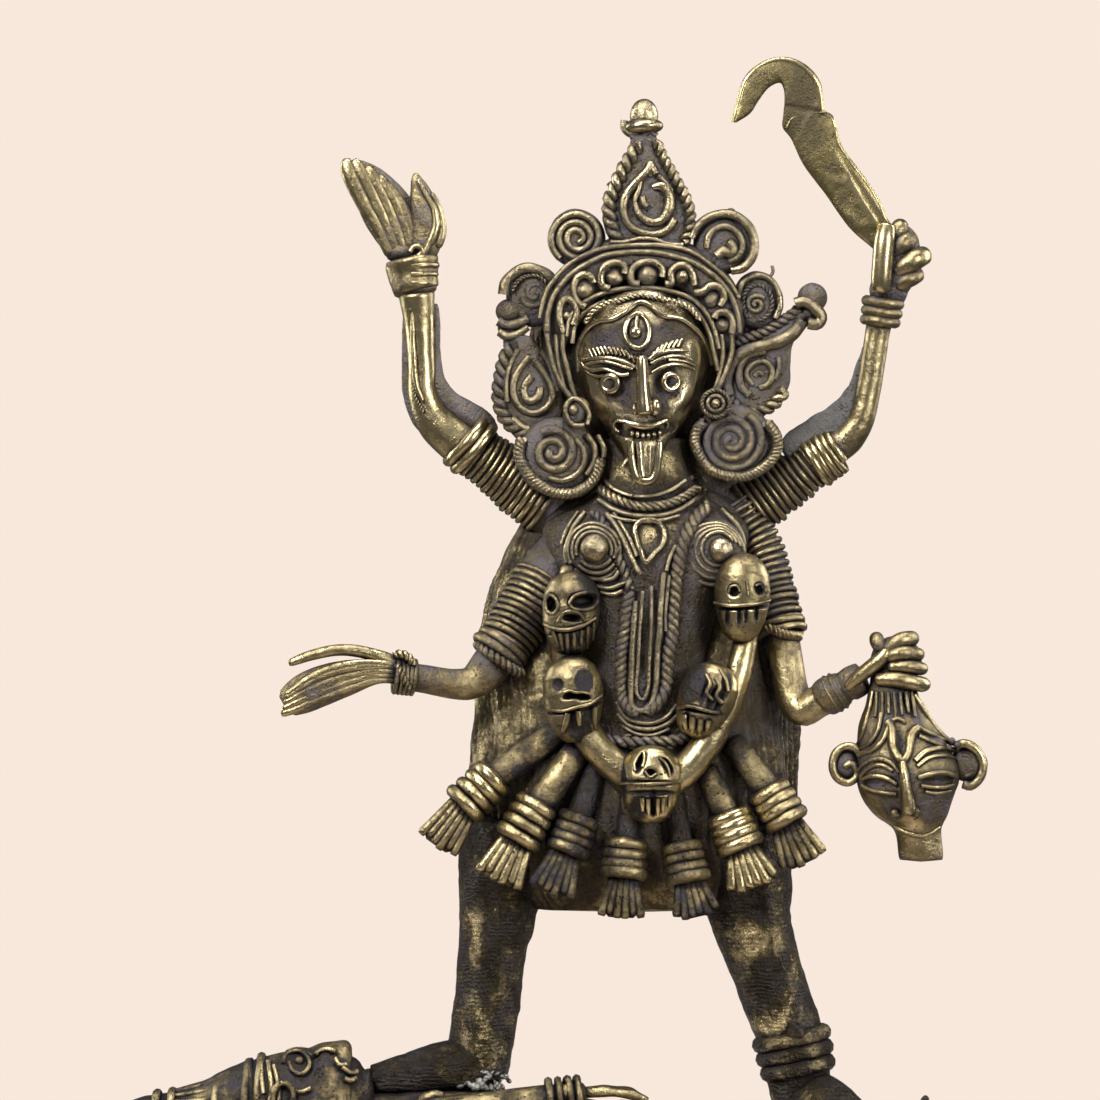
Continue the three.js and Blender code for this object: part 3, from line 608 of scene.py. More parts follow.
class Shop:
    """Adds nodes to one material."""

    def __init__(self, name: str) -> None:
        """Starts an empty material."""
        self.material = bpy.data.materials.new(name)
        self.material.use_nodes = True
        self.tree = self.material.node_tree
        self.tree.nodes.clear()

    def put(self, socket: Socket, value: "Sock | Socket | float | Spot") -> None:
        """Links a value to a socket, or sets it there."""
        if isinstance(value, (Sock, Socket)):
            self.tree.links.new(value.socket if isinstance(value, Sock) else value, socket)
        else:
            socket.default_value = value

    def add(self, kind: str, settings: dict | None = None, inputs: dict | list | None = None) -> bpy.types.Node:
        """Adds a node.

        Args:
            kind: The node's type.
            settings: Its settings, which are set first.
            inputs: Values or links for its sockets, by name or in order.

        Returns:
            The node.
        """
        node = self.tree.nodes.new(kind)
        for key, value in (settings or {}).items():
            setattr(node, key, value)
        for key, value in inputs.items() if isinstance(inputs, dict) else enumerate(inputs or []):
            self.put(node.inputs[key], value)
        return node

    def place(self, scale: Spot = (1, 1, 1), turn: Spot = (0, 0, 0)) -> Socket:
        """The object's coordinates, turned by degrees and scaled."""
        return self.add("ShaderNodeMapping", {"vector_type": "POINT"},
            {"Vector": self.add("ShaderNodeTexCoord").outputs["Object"], "Rotation": [radians(t) for t in turn],
            "Scale": list(scale)}).outputs["Vector"]

    def noise(self, size: float, detail: float = 4.0, rough: float = 0.6) -> Sock:
        """Noise around 0.5 whose lumps are size millimetres wide, with finer layers and their strength."""
        made = self.add("ShaderNodeTexNoise", {}, {"Vector": self.place(), "Scale": 1 / (size * MM), "Detail": detail,
            "Roughness": rough})
        return Sock(self, made.outputs[0])

    def pits(self, size: float, low: float, high: float) -> Sock:
        """Round pits on cells of size millimetres, 1 at their middles and 0 between them."""
        made = self.add("ShaderNodeTexVoronoi", {"feature": "F1"}, {"Vector": self.place(), "Scale": 1 / (size * MM)})
        return 1 - Sock(self, made.outputs["Distance"]).spread(low, high)

    def strokes(self, spacing: float, turn: Spot, waver: float = 14.0) -> Sock:
        """Scored lines, spacing millimetres apart, 1 on their crests."""
        made = self.add("ShaderNodeTexWave", {"wave_type": "BANDS", "bands_direction": "Z", "wave_profile": "SIN"},
            {"Vector": self.place(turn=turn), "Scale": 0.314 / (spacing * MM), "Distortion": waver, "Detail": 3,
            "Detail Scale": 0.25, "Detail Roughness": 0.6})
        return Sock(self, made.outputs["Fac"])

    def value(self, name: str) -> Sock:
        """A value stored on the mesh."""
        made = self.add("ShaderNodeAttribute", {"attribute_type": "GEOMETRY", "attribute_name": name})
        return Sock(self, made.outputs["Fac"])

    def hollow(self, distance: float) -> Sock:
        """How open the surface is within distance millimetres: 1 in the open, 0 in a hollow."""
        made = self.add("ShaderNodeAmbientOcclusion", {"samples": 8, "inside": False, "only_local": False},
            {"Distance": distance * MM, "Color": (1, 1, 1, 1)})
        return Sock(self, made.outputs["AO"])

    def blend(self, share: "Sock | float", a: "Spot | Socket", b: "Spot | Socket") -> Socket:
        """The colours a and b blended by a share of b from 0 to 1."""
        made = self.add("ShaderNodeMix", {"data_type": "RGBA", "blend_type": "MIX", "clamp_factor": True})
        for slot_name, value in (("Factor_Float", share), ("A_Color", a), ("B_Color", b)):
            colour = isinstance(value, (tuple, list))
            self.put(next(s for s in made.inputs if s.identifier == slot_name), (*value, 1) if colour else value)
        return next(s for s in made.outputs if s.identifier == "Result_Color")

    def finished(self, inputs: dict) -> Finish:
        """The material, with a shader that takes the inputs."""
        shader = self.add("ShaderNodeBsdfPrincipled", {}, inputs)
        self.put(self.add("ShaderNodeOutputMaterial").inputs["Surface"], shader.outputs["BSDF"])
        return self.material


class Scoring(Enum):
    """Which way a surface is scored: the turn of its lines, or none."""

    NONE = None
    LEVEL = (0, 0, 0)


@dataclass(frozen=True)
class CastBrass:
    """Brass from a lost-wax mould: bright where it is rubbed, with a dark skin in its hollows and painted shade in
    the deepest.

    Attributes:
        name: The finish's name.
        shine: Added to the piece's wear; above 0 the skin is rubbed off more.
        patch: How unevenly the skin is rubbed off from place to place.
        scoring: Which way the surface is scored.
        spacing: Millimetres between scored lines.
        bright: The rubbed brass.
        tarnish: The dulled brass around it.
        skin: The dark skin.
        bloom: The blue-grey that settles in the hollows.
        deep_patina_and_shade: The near-black of the deepest hollows: dark patina there, deepened by painted shade.
        bloomed: How much of the skin the blue-grey covers.
        relief: How grainy the surface is.
        metal: How metallic the skin is; the brass is a quarter more so.
    """

    name: str
    shine: float = 0.0
    patch: float = 2.2
    scoring: Scoring = Scoring.NONE
    spacing: float = 1.7
    bright: Spot = (0.66, 0.55, 0.31)
    tarnish: Spot = (0.27, 0.215, 0.115)
    skin: Spot = (0.120, 0.098, 0.072)
    bloom: Spot = (0.145, 0.132, 0.155)
    deep_patina_and_shade: Spot = (0.055, 0.048, 0.046)
    bloomed: float = 0.7
    relief: float = 1.0
    metal: float = 0.75

    def material(self) -> Finish:
        """Makes the material."""
        shop = Shop(self.name)
        open_air = shop.hollow(2.4)
        wide_air = shop.hollow(9)
        # The stored rubbing, which also holds the painted light and shade of some marks.
        wear_and_light = shop.value("wear_and_light")
        cloud = shop.noise(11)
        grain = shop.noise(1.1, 5, 0.7)
        flake = shop.noise(3.6, 4, 0.65)
        tint = shop.noise(7, 3)
        speck = shop.pits(1.1, 0.12, 0.34) * shop.noise(6, 2).spread(0.5, 0.62)
        exposed = open_air * 1.6 + wide_air * 0.5 + wear_and_light * 1.25 + (cloud - 0.5) * self.patch
        exposed = exposed + (grain + flake - 1) * self.relief + (self.shine - 2.2)
        score = None
        if self.scoring is not Scoring.NONE:
            score = shop.strokes(self.spacing, self.scoring.value)
            exposed = exposed + (score - 0.5) * 0.15
        exposed = exposed - speck * 0.8
        brass = exposed.spread(0.05, 0.68)
        rubbed = exposed.spread(0.5, 1.35)
        dull = shop.blend(tint.spread(0.42, 0.6) * self.bloomed, self.skin, self.bloom)
        # Painted shade: by ambient occlusion the deepest hollows turn from the skin to near black, darker than the
        # patina that lies there.
        dull = shop.blend((open_air + (grain - 0.5) * 0.5).spread(0.28, 0.88), self.deep_patina_and_shade, dull)
        colour = shop.blend(brass, dull, shop.blend(rubbed, self.tarnish, self.bright))
        rough = 0.41 + (1 - self.relief) * 0.17 - brass * 0.13 - rubbed * 0.07 + (grain - 0.5) * 0.2
        height = shop.noise(0.5, 3, 0.65) * 0.5 + shop.noise(1.6) * 0.8 + flake * 0.7 - speck * 0.8
        height = height * (1.1 - brass * 0.7 - rubbed * 0.33) * self.relief
        if score is not None:
            height = height + score * 0.2
        bump = shop.add("ShaderNodeBump", {}, {"Strength": 0.95, "Distance": 0.8 * MM, "Height": height})
        return shop.finished({"Base Color": colour, "Metallic": self.metal + brass * 0.25, "Roughness": rough.clamp(),
            "Normal": bump.outputs["Normal"]})


@dataclass(frozen=True)
class PlainPaint:
    """A plain matt studio surface."""

    name: str
    colour: Spot

    def material(self) -> Finish:
        """Makes the material."""
        shop = Shop(self.name)
        shade = shop.blend(shop.noise(120, 2), self.colour, [c * 0.985 for c in self.colour])
        return shop.finished({"Base Color": shade, "Roughness": 0.85})


# The goddess

TRUNK = Levels("96,0,-4,21,12 100,0,-4,21,12 111,.6,-4.5,16.5,11 124,.8,-5,15.8,11 140,1,-5,19,12 153,1.5,-4,25,12.5 "
    "163,1.5,-3,26,11.5 169,1.8,-3,17,10 177,2,-3.5,11,9.5 186,1.5,-3,10.5,9.5")
MASK = Levels("178,.9,-9.6,3.6,3.4 180,.8,-8.8,5.6,5.2 184.6,.5,-7,8,8.2 187.2,.5,-6,9.8,9.9 190,.4,-5.2,12.2,11.2 "
    "195,.4,-4.6,14.8,12 200,.4,-4,16.4,12.6 205,.5,-3.8,17.4,12.8 211,.4,-3.6,16.6,12.6 217,.4,-3,14,11.4 "
    "223,.4,-2,9,8.4 226,.4,-1,4,4")
CUT_HEAD = Levels("75.9,71.8,-18,5.2,3.2 77,71.8,-18,5.7,3.8 84.4,70.8,-18,6.2,5.2 87.6,69.4,-18,9,7 "
    "92,68.4,-18,11.6,8.4 97,68.4,-18,13.2,9 101,68.2,-18,13,8.8 106,67,-17.4,11.6,7.6 111,65.6,-17,9.6,6.6 "
    "116,65,-16.6,7.4,5.6 121,64.6,-16,6,4.8 126,64.8,-16,5.4,4.4")


@dataclass
class Body:
    """Her trunk and the long hair that falls behind it like a cape.

    Attributes:
        hair: The cape's rings.
        combs: How many combed furrows go round it.
        furrow: The depth of a furrow as a share of the ring.
    """

    hair: Levels = Levels("61.6,-2,4,31,10 64,-2,4,35,12 76,-3,4,42,16.5 96,-1.7,4,42.4,18.5 116,-.5,5,42,17 "
        "136,-.6,7,40.4,13.4 156,.6,8,34.8,10.8 166,1,7.4,30,9.6 176,1.3,7,28,9 196,.8,5,28,9.5 214,1.2,4.4,29.2,9.5 "
        "226,1,3.4,23,7.4 232,.8,3,17,6")
    combs: int = 84
    furrow: float = 0.013

    def build(self, scored: Finish, plain: Finish) -> None:
        """Casts the hair and the trunk."""
        back = Casting("hair_cape")

        def locks(angle: Array, z: Array) -> Array:
            """Combed furrows that run down and across, on broad locks."""
            around = np.stack([6 * np.cos(angle), 6 * np.sin(angle), z / 9], axis=1)
            waver = lumps(around, 7)
            comb = np.cos(self.combs * angle + 0.42 * z + 2.6 * waver)
            lock = np.cos(19 * angle + 0.1 * z + 1.8 * waver)
            fade = np.clip((228 - z) / 14, 0, 1)
            return 1 + fade * (self.furrow * comb * (0.7 + 0.5 * waver) + 0.012 * lock)

        cape = back.stack(self.hair, 0.3, sides=420, step=1.25, rough=0.5, swell=locks)
        # Painted light: the cape's left side is brightened and its right side darkened, as the light falls from the
        # left.
        back.touch(cape, "-36.4,117,15,62,0,0,.24 39,119.6,12,60,0,0,-.12")
        self._back_locks(back)
        back.cast(scored)
        trunk = Casting("trunk")
        form = trunk.stack(TRUNK, 0.12, sides=72, step=1.3, rough=0.3)
        # Painted shade: the marks at x 13.5 and -10.4 darken the receding sides of the waist; the others press the
        # midline and brighten the neck and chest.
        trunk.touch(form, "1.3,139.1,3.2,14,0,1.6,-.6 1.3,176.8,9,5,0,0,.7 1.3,161.2,16,9,0,0,.5 "
            "13.5,137.8,5,14,0,0,-.6 -10.4,137.8,5,14,0,0,-.4")
        trunk.limb("-22,3,159,7.4 -14,.6,163,8 0,0,165,8 17,.6,163.6,8 25,3,160,7.4", 0.2)
        trunk.cast(plain)

    def _back_locks(self, back: Casting) -> None:
        """Lays the long locks that run down the cape's back from her crown."""
        heights = np.arange(65, 230, 7)
        middle, depth, wide, deep = self.hair.at(heights)
        for n in range(23):
            across = np.clip(-0.9 + 1.8 * n / 22 + 0.022 * np.sin(heights / 15 + 2.1 * n), -0.92, 0.92)
            thick = 0.047 * wide * (1 + 0.12 * np.sin(heights / 11 + 1.3 * n))
            line = np.stack([middle + wide * across, depth + deep * np.sqrt(1 - across**2) - 0.45 * thick, heights,
                thick], axis=1)
            back.thread(line, None, 0.35, step=1.6, sides=4)


@dataclass
class Face:
    """Her mask-like face: ring eyes, a straight nose, a third eye and the tongue put out."""

    def build(self, finish: Finish) -> None:
        """Casts the face."""
        face = Casting("face")
        mask = face.stack(MASK, 0.86, sides=130, step=0.6, rough=0.2)
        face.touch(mask, "-8.1,198.9,5.2,5,0,1.1,-.5 7.8,199.4,5.2,5,0,1.1,-.5 -3.1,196.3,2.4,6.5,0,.7,-.7 "
            "4.4,196.3,2.2,6,0,.7,-.7 -6,188,1.3,1.2,20,1.8,-.9 7.8,188,1.6,1.3,-10,1.8,-.9 0,186.2,7,1.5,0,1.3,-.8 "
            "-7.8,210.6,6.5,3.6,0,.4,-.6 8.3,211.9,6.5,3.2,0,.4,-.6 13.5,195,3.6,9,15,0,.5 -11.4,194,3.4,7,-15,0,.5 "
            "14,206.7,2.8,3.6,0,-.3,.4 -6.5,197.1,4,5,0,.1,-.5 7.8,194.5,2.6,4.6,20,.2,-.5 -.5,209.3,15,6,0,0,-.7 "
            "-5.7,190.8,3.4,4.6,10,0,-.45 5.7,190.3,3,4,-10,0,-.4")
        self._eyes(face)
        self._brows(face)
        self._nose(face)
        self._mouth(face)
        self._hairline(face)
        face.cast(finish)

    def _eyes(self, face: Casting) -> None:
        """Sets the ring eyes and the third eye, a ring round a bead on its stem."""
        for x, z in ((-7.9, 198.8), (7.8, 199.2)):
            y = MASK.front(x, z)
            face.coin((x, y + 1.2, z), (2.2, 1.5, 2.2), -0.6, rough=0.05)
            pupil = face.ball((x + 0.2, y - 0.1, z + 0.1), (1.3, 0.7, 1.3), -0.5, segments=16)
            face.touch(pupil, [(x + 0.1, z, 1.15, 1.15, 0, 0.9, -2.2)])
            ring = [(x + 1.95 * cos(t), z + 2 * sin(t)) for t in circle(18)]
            face.thread(on(MASK.front, ring, 0.35), 0.8, 1, closed=True, step=0.5)
        drop = "637.5,316 645,322 648.5,334 646,345 638,351 629,347 623.5,336 627,323"
        face.thread(on(MASK.front, drop, 0.4), 0.66, 1, closed=True, step=0.5)
        x, z = -1.4, 211.9
        face.ball((x, MASK.front(x, z) - 0.3, z), (1.5, 1, 1.5), 1, segments=16)
        face.wires(MASK.front, ".5: 635,332 635.5,325 636.5,319", 0.9)

    def _brows(self, face: Casting) -> None:
        """Sets the lashed brows and the wires of the lids."""
        face.wires(MASK.front, ".6: 583,361 590,360 602,360 614,361 626,365 634,369 | .5: 588,365 600,363.5 612,365 "
            "624,369 632,371 | .5: 584,368 592,372 602,371 611,373 620,377 628,376 | .42: 582,364 588,374 596,378 "
            "603,378 | .6: 648,362 656,356 666,353 678,352 688,352 | .5: 650,366 660,361 670,358 682,358 690,361 | "
            ".45: 667,362 676,362 686,364 694,367 | .5: 651,375 660,370 671,366.5 682,367 692,371", 0.92)
        for n in range(9):
            x, z = -13.5 + 1.04 * n, 207.7 + 0.5 * sin(n * 0.4)
            lash = [(x, z), (x + 0.6, z - 0.9), (x + 1, z - 1.9)]
            face.thread(on(MASK.front, lash, 0.3), 0.42, 0.95)
        for n, (x, z) in enumerate(traced("624,353 629,357 634,359 639,362 654,354 658,350 662,347 666,345 671,343 "
                "676,342 681,341")):
            lean = 0.8 if n < 4 else -0.3 - 0.05 * n
            lash = [(x, z), (x + lean, z - 1), (x + 1.6 * lean, z - 2)]
            face.thread(on(MASK.front, lash, 0.3), 0.42, 0.9)

    def _nose(self, face: Casting) -> None:
        """Sets the straight nose with its one nostril."""
        line = "640.5,358,5.5 641,368,6.6 641.5,382,6.6 642.5,397,7 643.5,409,8 644,416,8"
        face.limb(on(MASK.front, line, 0.9), 1, sides=24, step=0.5, rough=0.03, deep=1.25)
        x, z = 3.9, 192.7
        face.ball((x - 0.1, MASK.front(x, z) - 0.4, z), (1.6, 1.8, 2.2), 0.9, 8, segments=18)
        x, z = -1.6, 192.1
        face.ball((x, MASK.front(x, z) + 0.1, z), (0.9, 1.1, 1.4), 0.7, -10, segments=16)

    def _mouth(self, face: Casting) -> None:
        """Sets the lips, the teeth and the grooved tongue."""
        upper = "622,422.5,1.6 630,425.5,2.6 640,428,3.2 648,427.5,3.2 658,424.5,2.6 666,421.5,1.4"
        face.thread(on(MASK.front, upper, 0.7), None, 0.95, step=0.5)
        face.wires(MASK.front, ".45: 622,423 616,422 613,425 614.5,430 619,433 | .4: 664,422 667,424.5 666,429", 0.75)
        for n, (x, z) in enumerate(traced("631,434.5 636.5,436 642,437 647.5,437 653,436 658.5,434.5")):
            face.ball((x, MASK.front(x, z) - 0.3, z), (0.66, 0.8, 0.8 + 0.12 * (n % 2)), 0.85, segments=12)
        root = MASK.front(1, 184.1)
        body = [(0.9, root + 1.2, 184.6, 3.6), (1, root - 1.4, 181.6, 3.9), (0.9, root - 2, 177.6, 3.6), (0.7,
            root - 1.8, 174.6, 2.9), (0.5, root - 1.4, 173.2, 1.9)]
        face.limb(body, 1, sides=28, step=0.6, deep=0.36, rough=0.04)
        front = root - 3.2
        rim = "630,443 630.5,455 632,468 635,477 641,482 648,481.5 654,475 657,462 658.5,444"
        face.thread(on(front, rim), 1, 1, step=0.6)
        face.thread(on(front, "638,444 638.5,458 639.5,470 641,477"), 0.9, 1, step=0.6)
        face.thread(on(front + 0.2, "648.5,447 648.5,460 648,471"), 0.55, 0.85, step=0.6)
        face.thread(on(front + 1.6, "631,460 626,462 622.5,467"), 0.7, 0.9, step=0.5)

    def _hairline(self, face: Casting) -> None:
        """Sets the waved wire of the hairline and the braid above it."""
        wave = ("578,372 578.8,345 587.5,330 600,322.5 612,321 625,314.5 638,304.5 650,308.5 662,317.5 680,321 "
            "694,330 705,345 711,365")
        face.thread(on(MASK.front, wave, 0.6), 0.74, 1)
        braid = "585,325 592,314 605,306 622,302 638,298 655,300 672,303 688,310 699,322"
        face.rope(on(-12.6, braid), 0.75, 0.7, 2.6)


@dataclass
class Crown:
    """The half-disc tiara with its horseshoes, whorls and plumes.

    Attributes:
        face_y: Where the band's front lies.
        shoes: The path of each horseshoe's wire.
        bosses: The middle and radius of the grainy boss in each horseshoe.
    """

    face_y: float = -9.6
    shoes: tuple = (traced("573,327 576,314 572,303 565,301 560,309 560,322 563,334"),
        traced("593,285 590,279 584,276.5 577,280 574,288 574,297 578,305 585,309"),
        traced("624,276 624,269 618,265 609,266 602,271 600,280 602,288 609,291"),
        traced("661,279 661,271 655,265.5 646,264 637,266.5 631,272 630,279 632,285 639,286"),
        traced("664,286 671,285 670,276 673,270 680,267 687,269.5 691,276 693,287"),
        traced("693,295 701,294 707,289 715,288 721,292 723,300 719,308"), traced("713,320 716,315 723,313.5 729,317 "
        "732,325 731,335"))
    bosses: str = ("-19,216.6,1.3 -14.6,223.1,1.82 -6.8,226.5,1.95 1.8,227,2.08 10.7,226.5,1.56 18.5,220.7,1.69 "
        "21.3,214.2,1.56")

    def build(self, finish: Finish) -> None:
        """Casts the crown in two pieces."""
        band = Casting("crown_band")
        self._band(band)
        band.cast(finish)
        top = Casting("crown_plumes")
        self._whorls(top)
        self._middle_plume(top)
        self._right_plume(top)
        self._left_plume(top)
        top.cast(finish)

    def _band(self, band: Casting) -> None:
        """Lays the band's ground, wires and horseshoes."""

        def ground(u: Array, v: Array) -> Array:
            """Positions on a flat arch with rounded edges."""
            around = np.radians(-5 + 190 * v)
            section = TURN * u
            rim = held(v)
            end = 0.2 + 0.8 * np.clip(np.minimum(v, 1 - v) * 7, 0, 1) ** 0.7
            radius = 22.4 + 5.8 * end * signed(np.cos(section), 0.7) * rim
            y = -3 + 6.4 * end * signed(np.sin(section), 0.5) * rim
            return np.stack([0.9 + radius * np.cos(around), y, 209.4 + radius * 1.02 * np.sin(around)], axis=1)

        form = band.skin(ground, 36, 110, 0.3, 0.25)
        band.touch(form, [(x, z, r, r, 0, 0, 0.35) for x, z, r in rows_of(self.bosses)])
        band.wires(self.face_y, ".85: 547,332 549,312 555,295 565,282 577,272 590,264 604,258 622,254.5 640,253.5 "
            "660,256 680,260.5 696,267 709,275 720,285 730,298 736,314 739,334 | .7: 540,320 543,303 549,288 560,275 "
            "573,264 588,256 606,250 624,247.5 645,247 668,249 686,253 702,261 716,272 728,284 738,300 | .7: 566,338 "
            "568,325 574,313 584,304 597,297 610,293 624,290.5 640,290 656,290.5 672,293.5 686,299 698,307 707,318 "
            "713,332 718,350 | .6: 572,345 574,330 580,318 590,310 604,302.5 | .6: 676,301 690,308 700,319 707,333 "
            "713,352 717,372 | .7: 563,334 563,352 567,368 571,386 576,402 | .6: 721,336 722,356 719,374 712,394 | "
            ".6: 556,336 557,356 561,376 566,394 574,404 | .75: 731,336 731,352 726,370 716,392 | .75: 547,334 "
            "549,350 554,368 561,386 570,398", 0.7, 0.1)
        for path in self.shoes:
            band.thread(on(self.face_y, path, 0.35), 1.05, 0.8, step=0.5)
        for x, z, r in rows_of(self.bosses):
            band.ball((x, self.face_y + 0.9, z), (r * 1.35, 1.9, r * 1.35), 0.75, rough=0.8, segments=32)
        band.wires(self.face_y, ".6: 610,244 624,243.5 640,240.5 655,242 668,247 682,247.5", 0.85, -0.4)

    def _whorls(self, top: Casting) -> None:
        """Coils the four whorls beside the middle plume."""
        x, z = -16.4, 236.6
        top.coin((x, -4.6, z), (7.4, 3.6, 7.8), 0.35, -20)
        top.thread(spiral((x, -8.2, z), 6.9, 1.2, 2.85, 230, -1), 0.98, 0.85)
        x, z = 21.3, 235
        top.coin((x, -4.6, z), (7.6, 3.6, 7.8), 0.25)
        sweep = traced("691,240 698,227 710,218.5 724,216 738,220 749,231 753,246 750,260 741,270 730,273")
        top.thread(on(-8.2, [(a, b, 1.35 - 0.05 * abs(n - 5)) for n, (a, b) in enumerate(sweep)]), None, 1)
        top.wires(-8.2, ".95: 706,250 707,240 713,232 723,228 733,231 740,240 741,250 736,259 728,264", 0.9)
        top.wires(-8.2, "1.5: 716,258 722,253 731,255 732,249 727,244", 1, 0.1)
        top.ball((23.4, -7, 243.6), (1.2, 1, 0.9), 0.2, segments=12)
        x, z = -27.8, 221.5
        top.coin((x, -3.8, z), (7.2, 3.4, 7.6), 0.1, 10, rough=0.6)
        top.thread(on(-7.2, "504,296 506,284 514,275 526,269.5 539,271 550,279 556,290"), 1.45, 0.6)
        top.rope(on(-7.6, "512,292 517,283 526,277.5 538,277 547,284"), 0.6, 0.85, 2.2)
        top.thread(spiral((x + 0.3, -7, z + 0.8), 3.6, 0.6, 1.6, 200, 1), 0.75, 0.25)
        x, z = 30.4, 220.5
        top.coin((x, -3.8, z), (6.6, 3.4, 7.8), 0.1, -12, rough=0.6)
        top.wires(-7.2, ".8: 738,296 741,285 750,278.5 761,277 771,283 777,294 779,308 774,320", 0.8)
        top.rope(on(-7.2, "745,318 742,303 746,291 757,286 767,292 771,304 767,316 757,322"), 0.7, 0.5, 2.4)
        top.thread(spiral((29.9, -7.4, 219.4), 2.6, 0.5, 1.5, 40, 1), 0.75, 0.8)
        top.thread(on(-6.6, "768,279 772,273 771,267"), 0.45, 0.6)

    def _plate(self, top: Casting, left: Sequence[Spot], right: Sequence[Spot], y: float, wear_and_light: float) -> None:
        """Skins a plume's ground between its two edges.

        Args:
            top: The casting.
            left: The left edge from the foot up, x and z.
            right: The right edge from the foot up, x and z.
            y: The middle of its depth.
            wear_and_light: How brightly it is rubbed.
        """
        edges = [spline([(a, 0, b) for a, b in edge], 0.4) for edge in (left, right)]

        def place(u: Array, v: Array) -> Array:
            """Positions between the edges."""
            a, b = (along(edge, v)[:, [0, 2]] for edge in edges)
            rim = held(v)
            share = (1 + rim * np.cos(TURN * u)) / 2
            flat = a + (b - a) * share[:, None]
            deep = 3 * rim * signed(np.sin(TURN * u), 0.5)
            return np.stack([flat[:, 0], y + deep, flat[:, 1]], axis=1)

        top.skin(place, 40, 56, wear_and_light, 0.3)

    def _middle_plume(self, top: Casting) -> None:
        """Sets the middle plume: rope edges, a comma in a drop, and the knob."""
        self._plate(top, traced("612,246 604,228 603,208 609,190 619,168 629,150 631,136"),
            traced("686,247 693,234 693,216 684,194 672,172 661,152 655,136"), -5.2, 0.2)
        top.rope(on(-7.6, "620,246 612,230 609,212 612,195 620,177 630,160 638,146"), 2, 0.9, 5.6, Lay.LEFT)
        top.rope(on(-7.8, "683,245 689,230 689,213 683,196 673,178 663,161 655,145"), 1.55, 0.85, 4.4)
        top.wires(-8.2, "1.15: 655,176 650,168 644,176 636,184 627,195 623,208 625,221 633,231 646,236 659,235 "
            "669,229 674,221 | .7: 657,178 664,184 671,193 | .75: 641,180 639,190 635,200 634,208", 0.9, 0.2)
        comma = ("634,205,3.4 638,216,4 646,223,4.2 656,224,4.6 665,218,5.4 669,207,6 668,196,5.6 661,188.5,4.6 "
            "652,189,3.2")
        top.thread(on(-8.6, comma), None, 1)
        top.wires(-8.4, ".95: 642,198 643,205 646,209", 0.95)
        top.ball((2.6, -8.2, 254.5), (1.6, 1.1, 2.2), 0.95, segments=14)
        x, z = 0.7, 265.7
        top.ball((x, -5, z), (5.3, 4.6, 2.3), 1, -3, 0.15, segments=36)
        x, z = 1, 268.3
        top.ball((x, -5, z), (3.7, 3.6, 4.6), 0.95, 0, 0.12, segments=32)
        top.thread(on(-6.2, "624,122 624,130 630,136 641,134 652,131"), 1, 0.7)
        top.thread(on(-6.6, "630,138 640,139 650,134 656,138"), 0.8, 0.6)
        top.thread(on(-7.4, "636,146 642,141 650,143"), 0.7, 0.7)

    def _right_plume(self, top: Casting) -> None:
        """Sets the right plume, with its wide smooth wire and half a rope edge."""
        self._plate(top, traced("752,414 731,406 722,390 724,368 735,350 757,338 780,326 797,312"),
            traced("762,414 780,402 789,386 790,366 790,352 794,340 803,326 808,314"), -4.4, 0.15)
        top.wires(-7, "1.8: 801,322 793,333 782,341 766,346 749,350.5 736,358 728,370 725,384 728,396 | 1.2: 764,352 "
            "750,355 741,363 738,375 740,388 748,396 | .9: 751,386 746,378 747,370 754,364 763,362 770,368 771,378 "
            "766,386 758,389 | .7: 777,358 778,368 774,380", 0.5, 0.3)
        top.wires(-7, ".8: 754,377 758,373 762,376", 0.5)
        top.rope(on(-6.6, "725,392 733,405 747,413 762,411 774,403 783,392"), 1.9, 0.7, 5)
        top.rope(on(-6.6, "735,343 748,339 762,334 776,326 788,318 796,311"), 1.5, 0.5, 3.8)
        x, z = 44.7, 221.3
        top.ball((x, -5, z), (3.8, 3.4, 3.9), 0.3, 25, 0.6, segments=28)
        top.thread(on(-7.4, "794,305 801,303 809,306 816,312 820,319 816,325 807,324"), 1.6, 0.7)
        top.thread(on(-4, "800,312 806,321 813,326"), 1.2, 0.4)
        top.ball((43.7, -4.6, 217.4), (3, 2.4, 2.6), 0.1, segments=20)

    def _left_plume(self, top: Casting) -> None:
        """Sets the left plume, with its rope on the left and its S-curved wire."""
        self._plate(top, traced("530,438 508,430 498,415 495,398 499,374 503,356 508,342 512,334"),
            traced("545,438 558,430 563,414 562,398 556,378 547,360 538,346 532,336"), -4.4, 0.15)
        top.rope(on(-6.8, "513,343 506,358 502,374 499,390 500,406 506,420 518,431 532,437"), 2, 0.45, 5.4, Lay.LEFT)
        top.wires(-7, "1.1: 529,358 517,374 513.5,390 519.5,407 533.5,414 548,407 552.5,393 545.5,376 535,363 | 1.2: "
            "531,377 524,390 529,402 538.5,397.5 540,388 | .9: 518,350 510,366 506,384 507,402 | .8: 541,352 549,364 "
            "554,378 557,392", 0.8, 0.3)
        top.thread(on(-7.2, "512,420 522,428 534,432 546,432 556,427"), 1.3, 0.85)
        x, z = -34.1, 217.9
        top.ball((x, -5, z), (3.4, 3, 3.2), 0.35, -10, 0.2, segments=28)
        top.ball((-34.1, -4.4, 213.5), (2.9, 2.2, 3.6), 0.1, segments=20)
        top.thread(on(-6.6, "498,322 506,326 517,325 528,320"), 1.3, 0.5)
        top.thread(on(-6.6, [(*s, 1.25 - 0.12 * abs(n - 1)) for n,
            s in enumerate(traced("499,333 507,337.5 518,335 528,328"))]), None, 0.95)
        top.ball((-32.8, -4.6, 210.6), (3, 2.6, 2), 0.1, -30, segments=20)


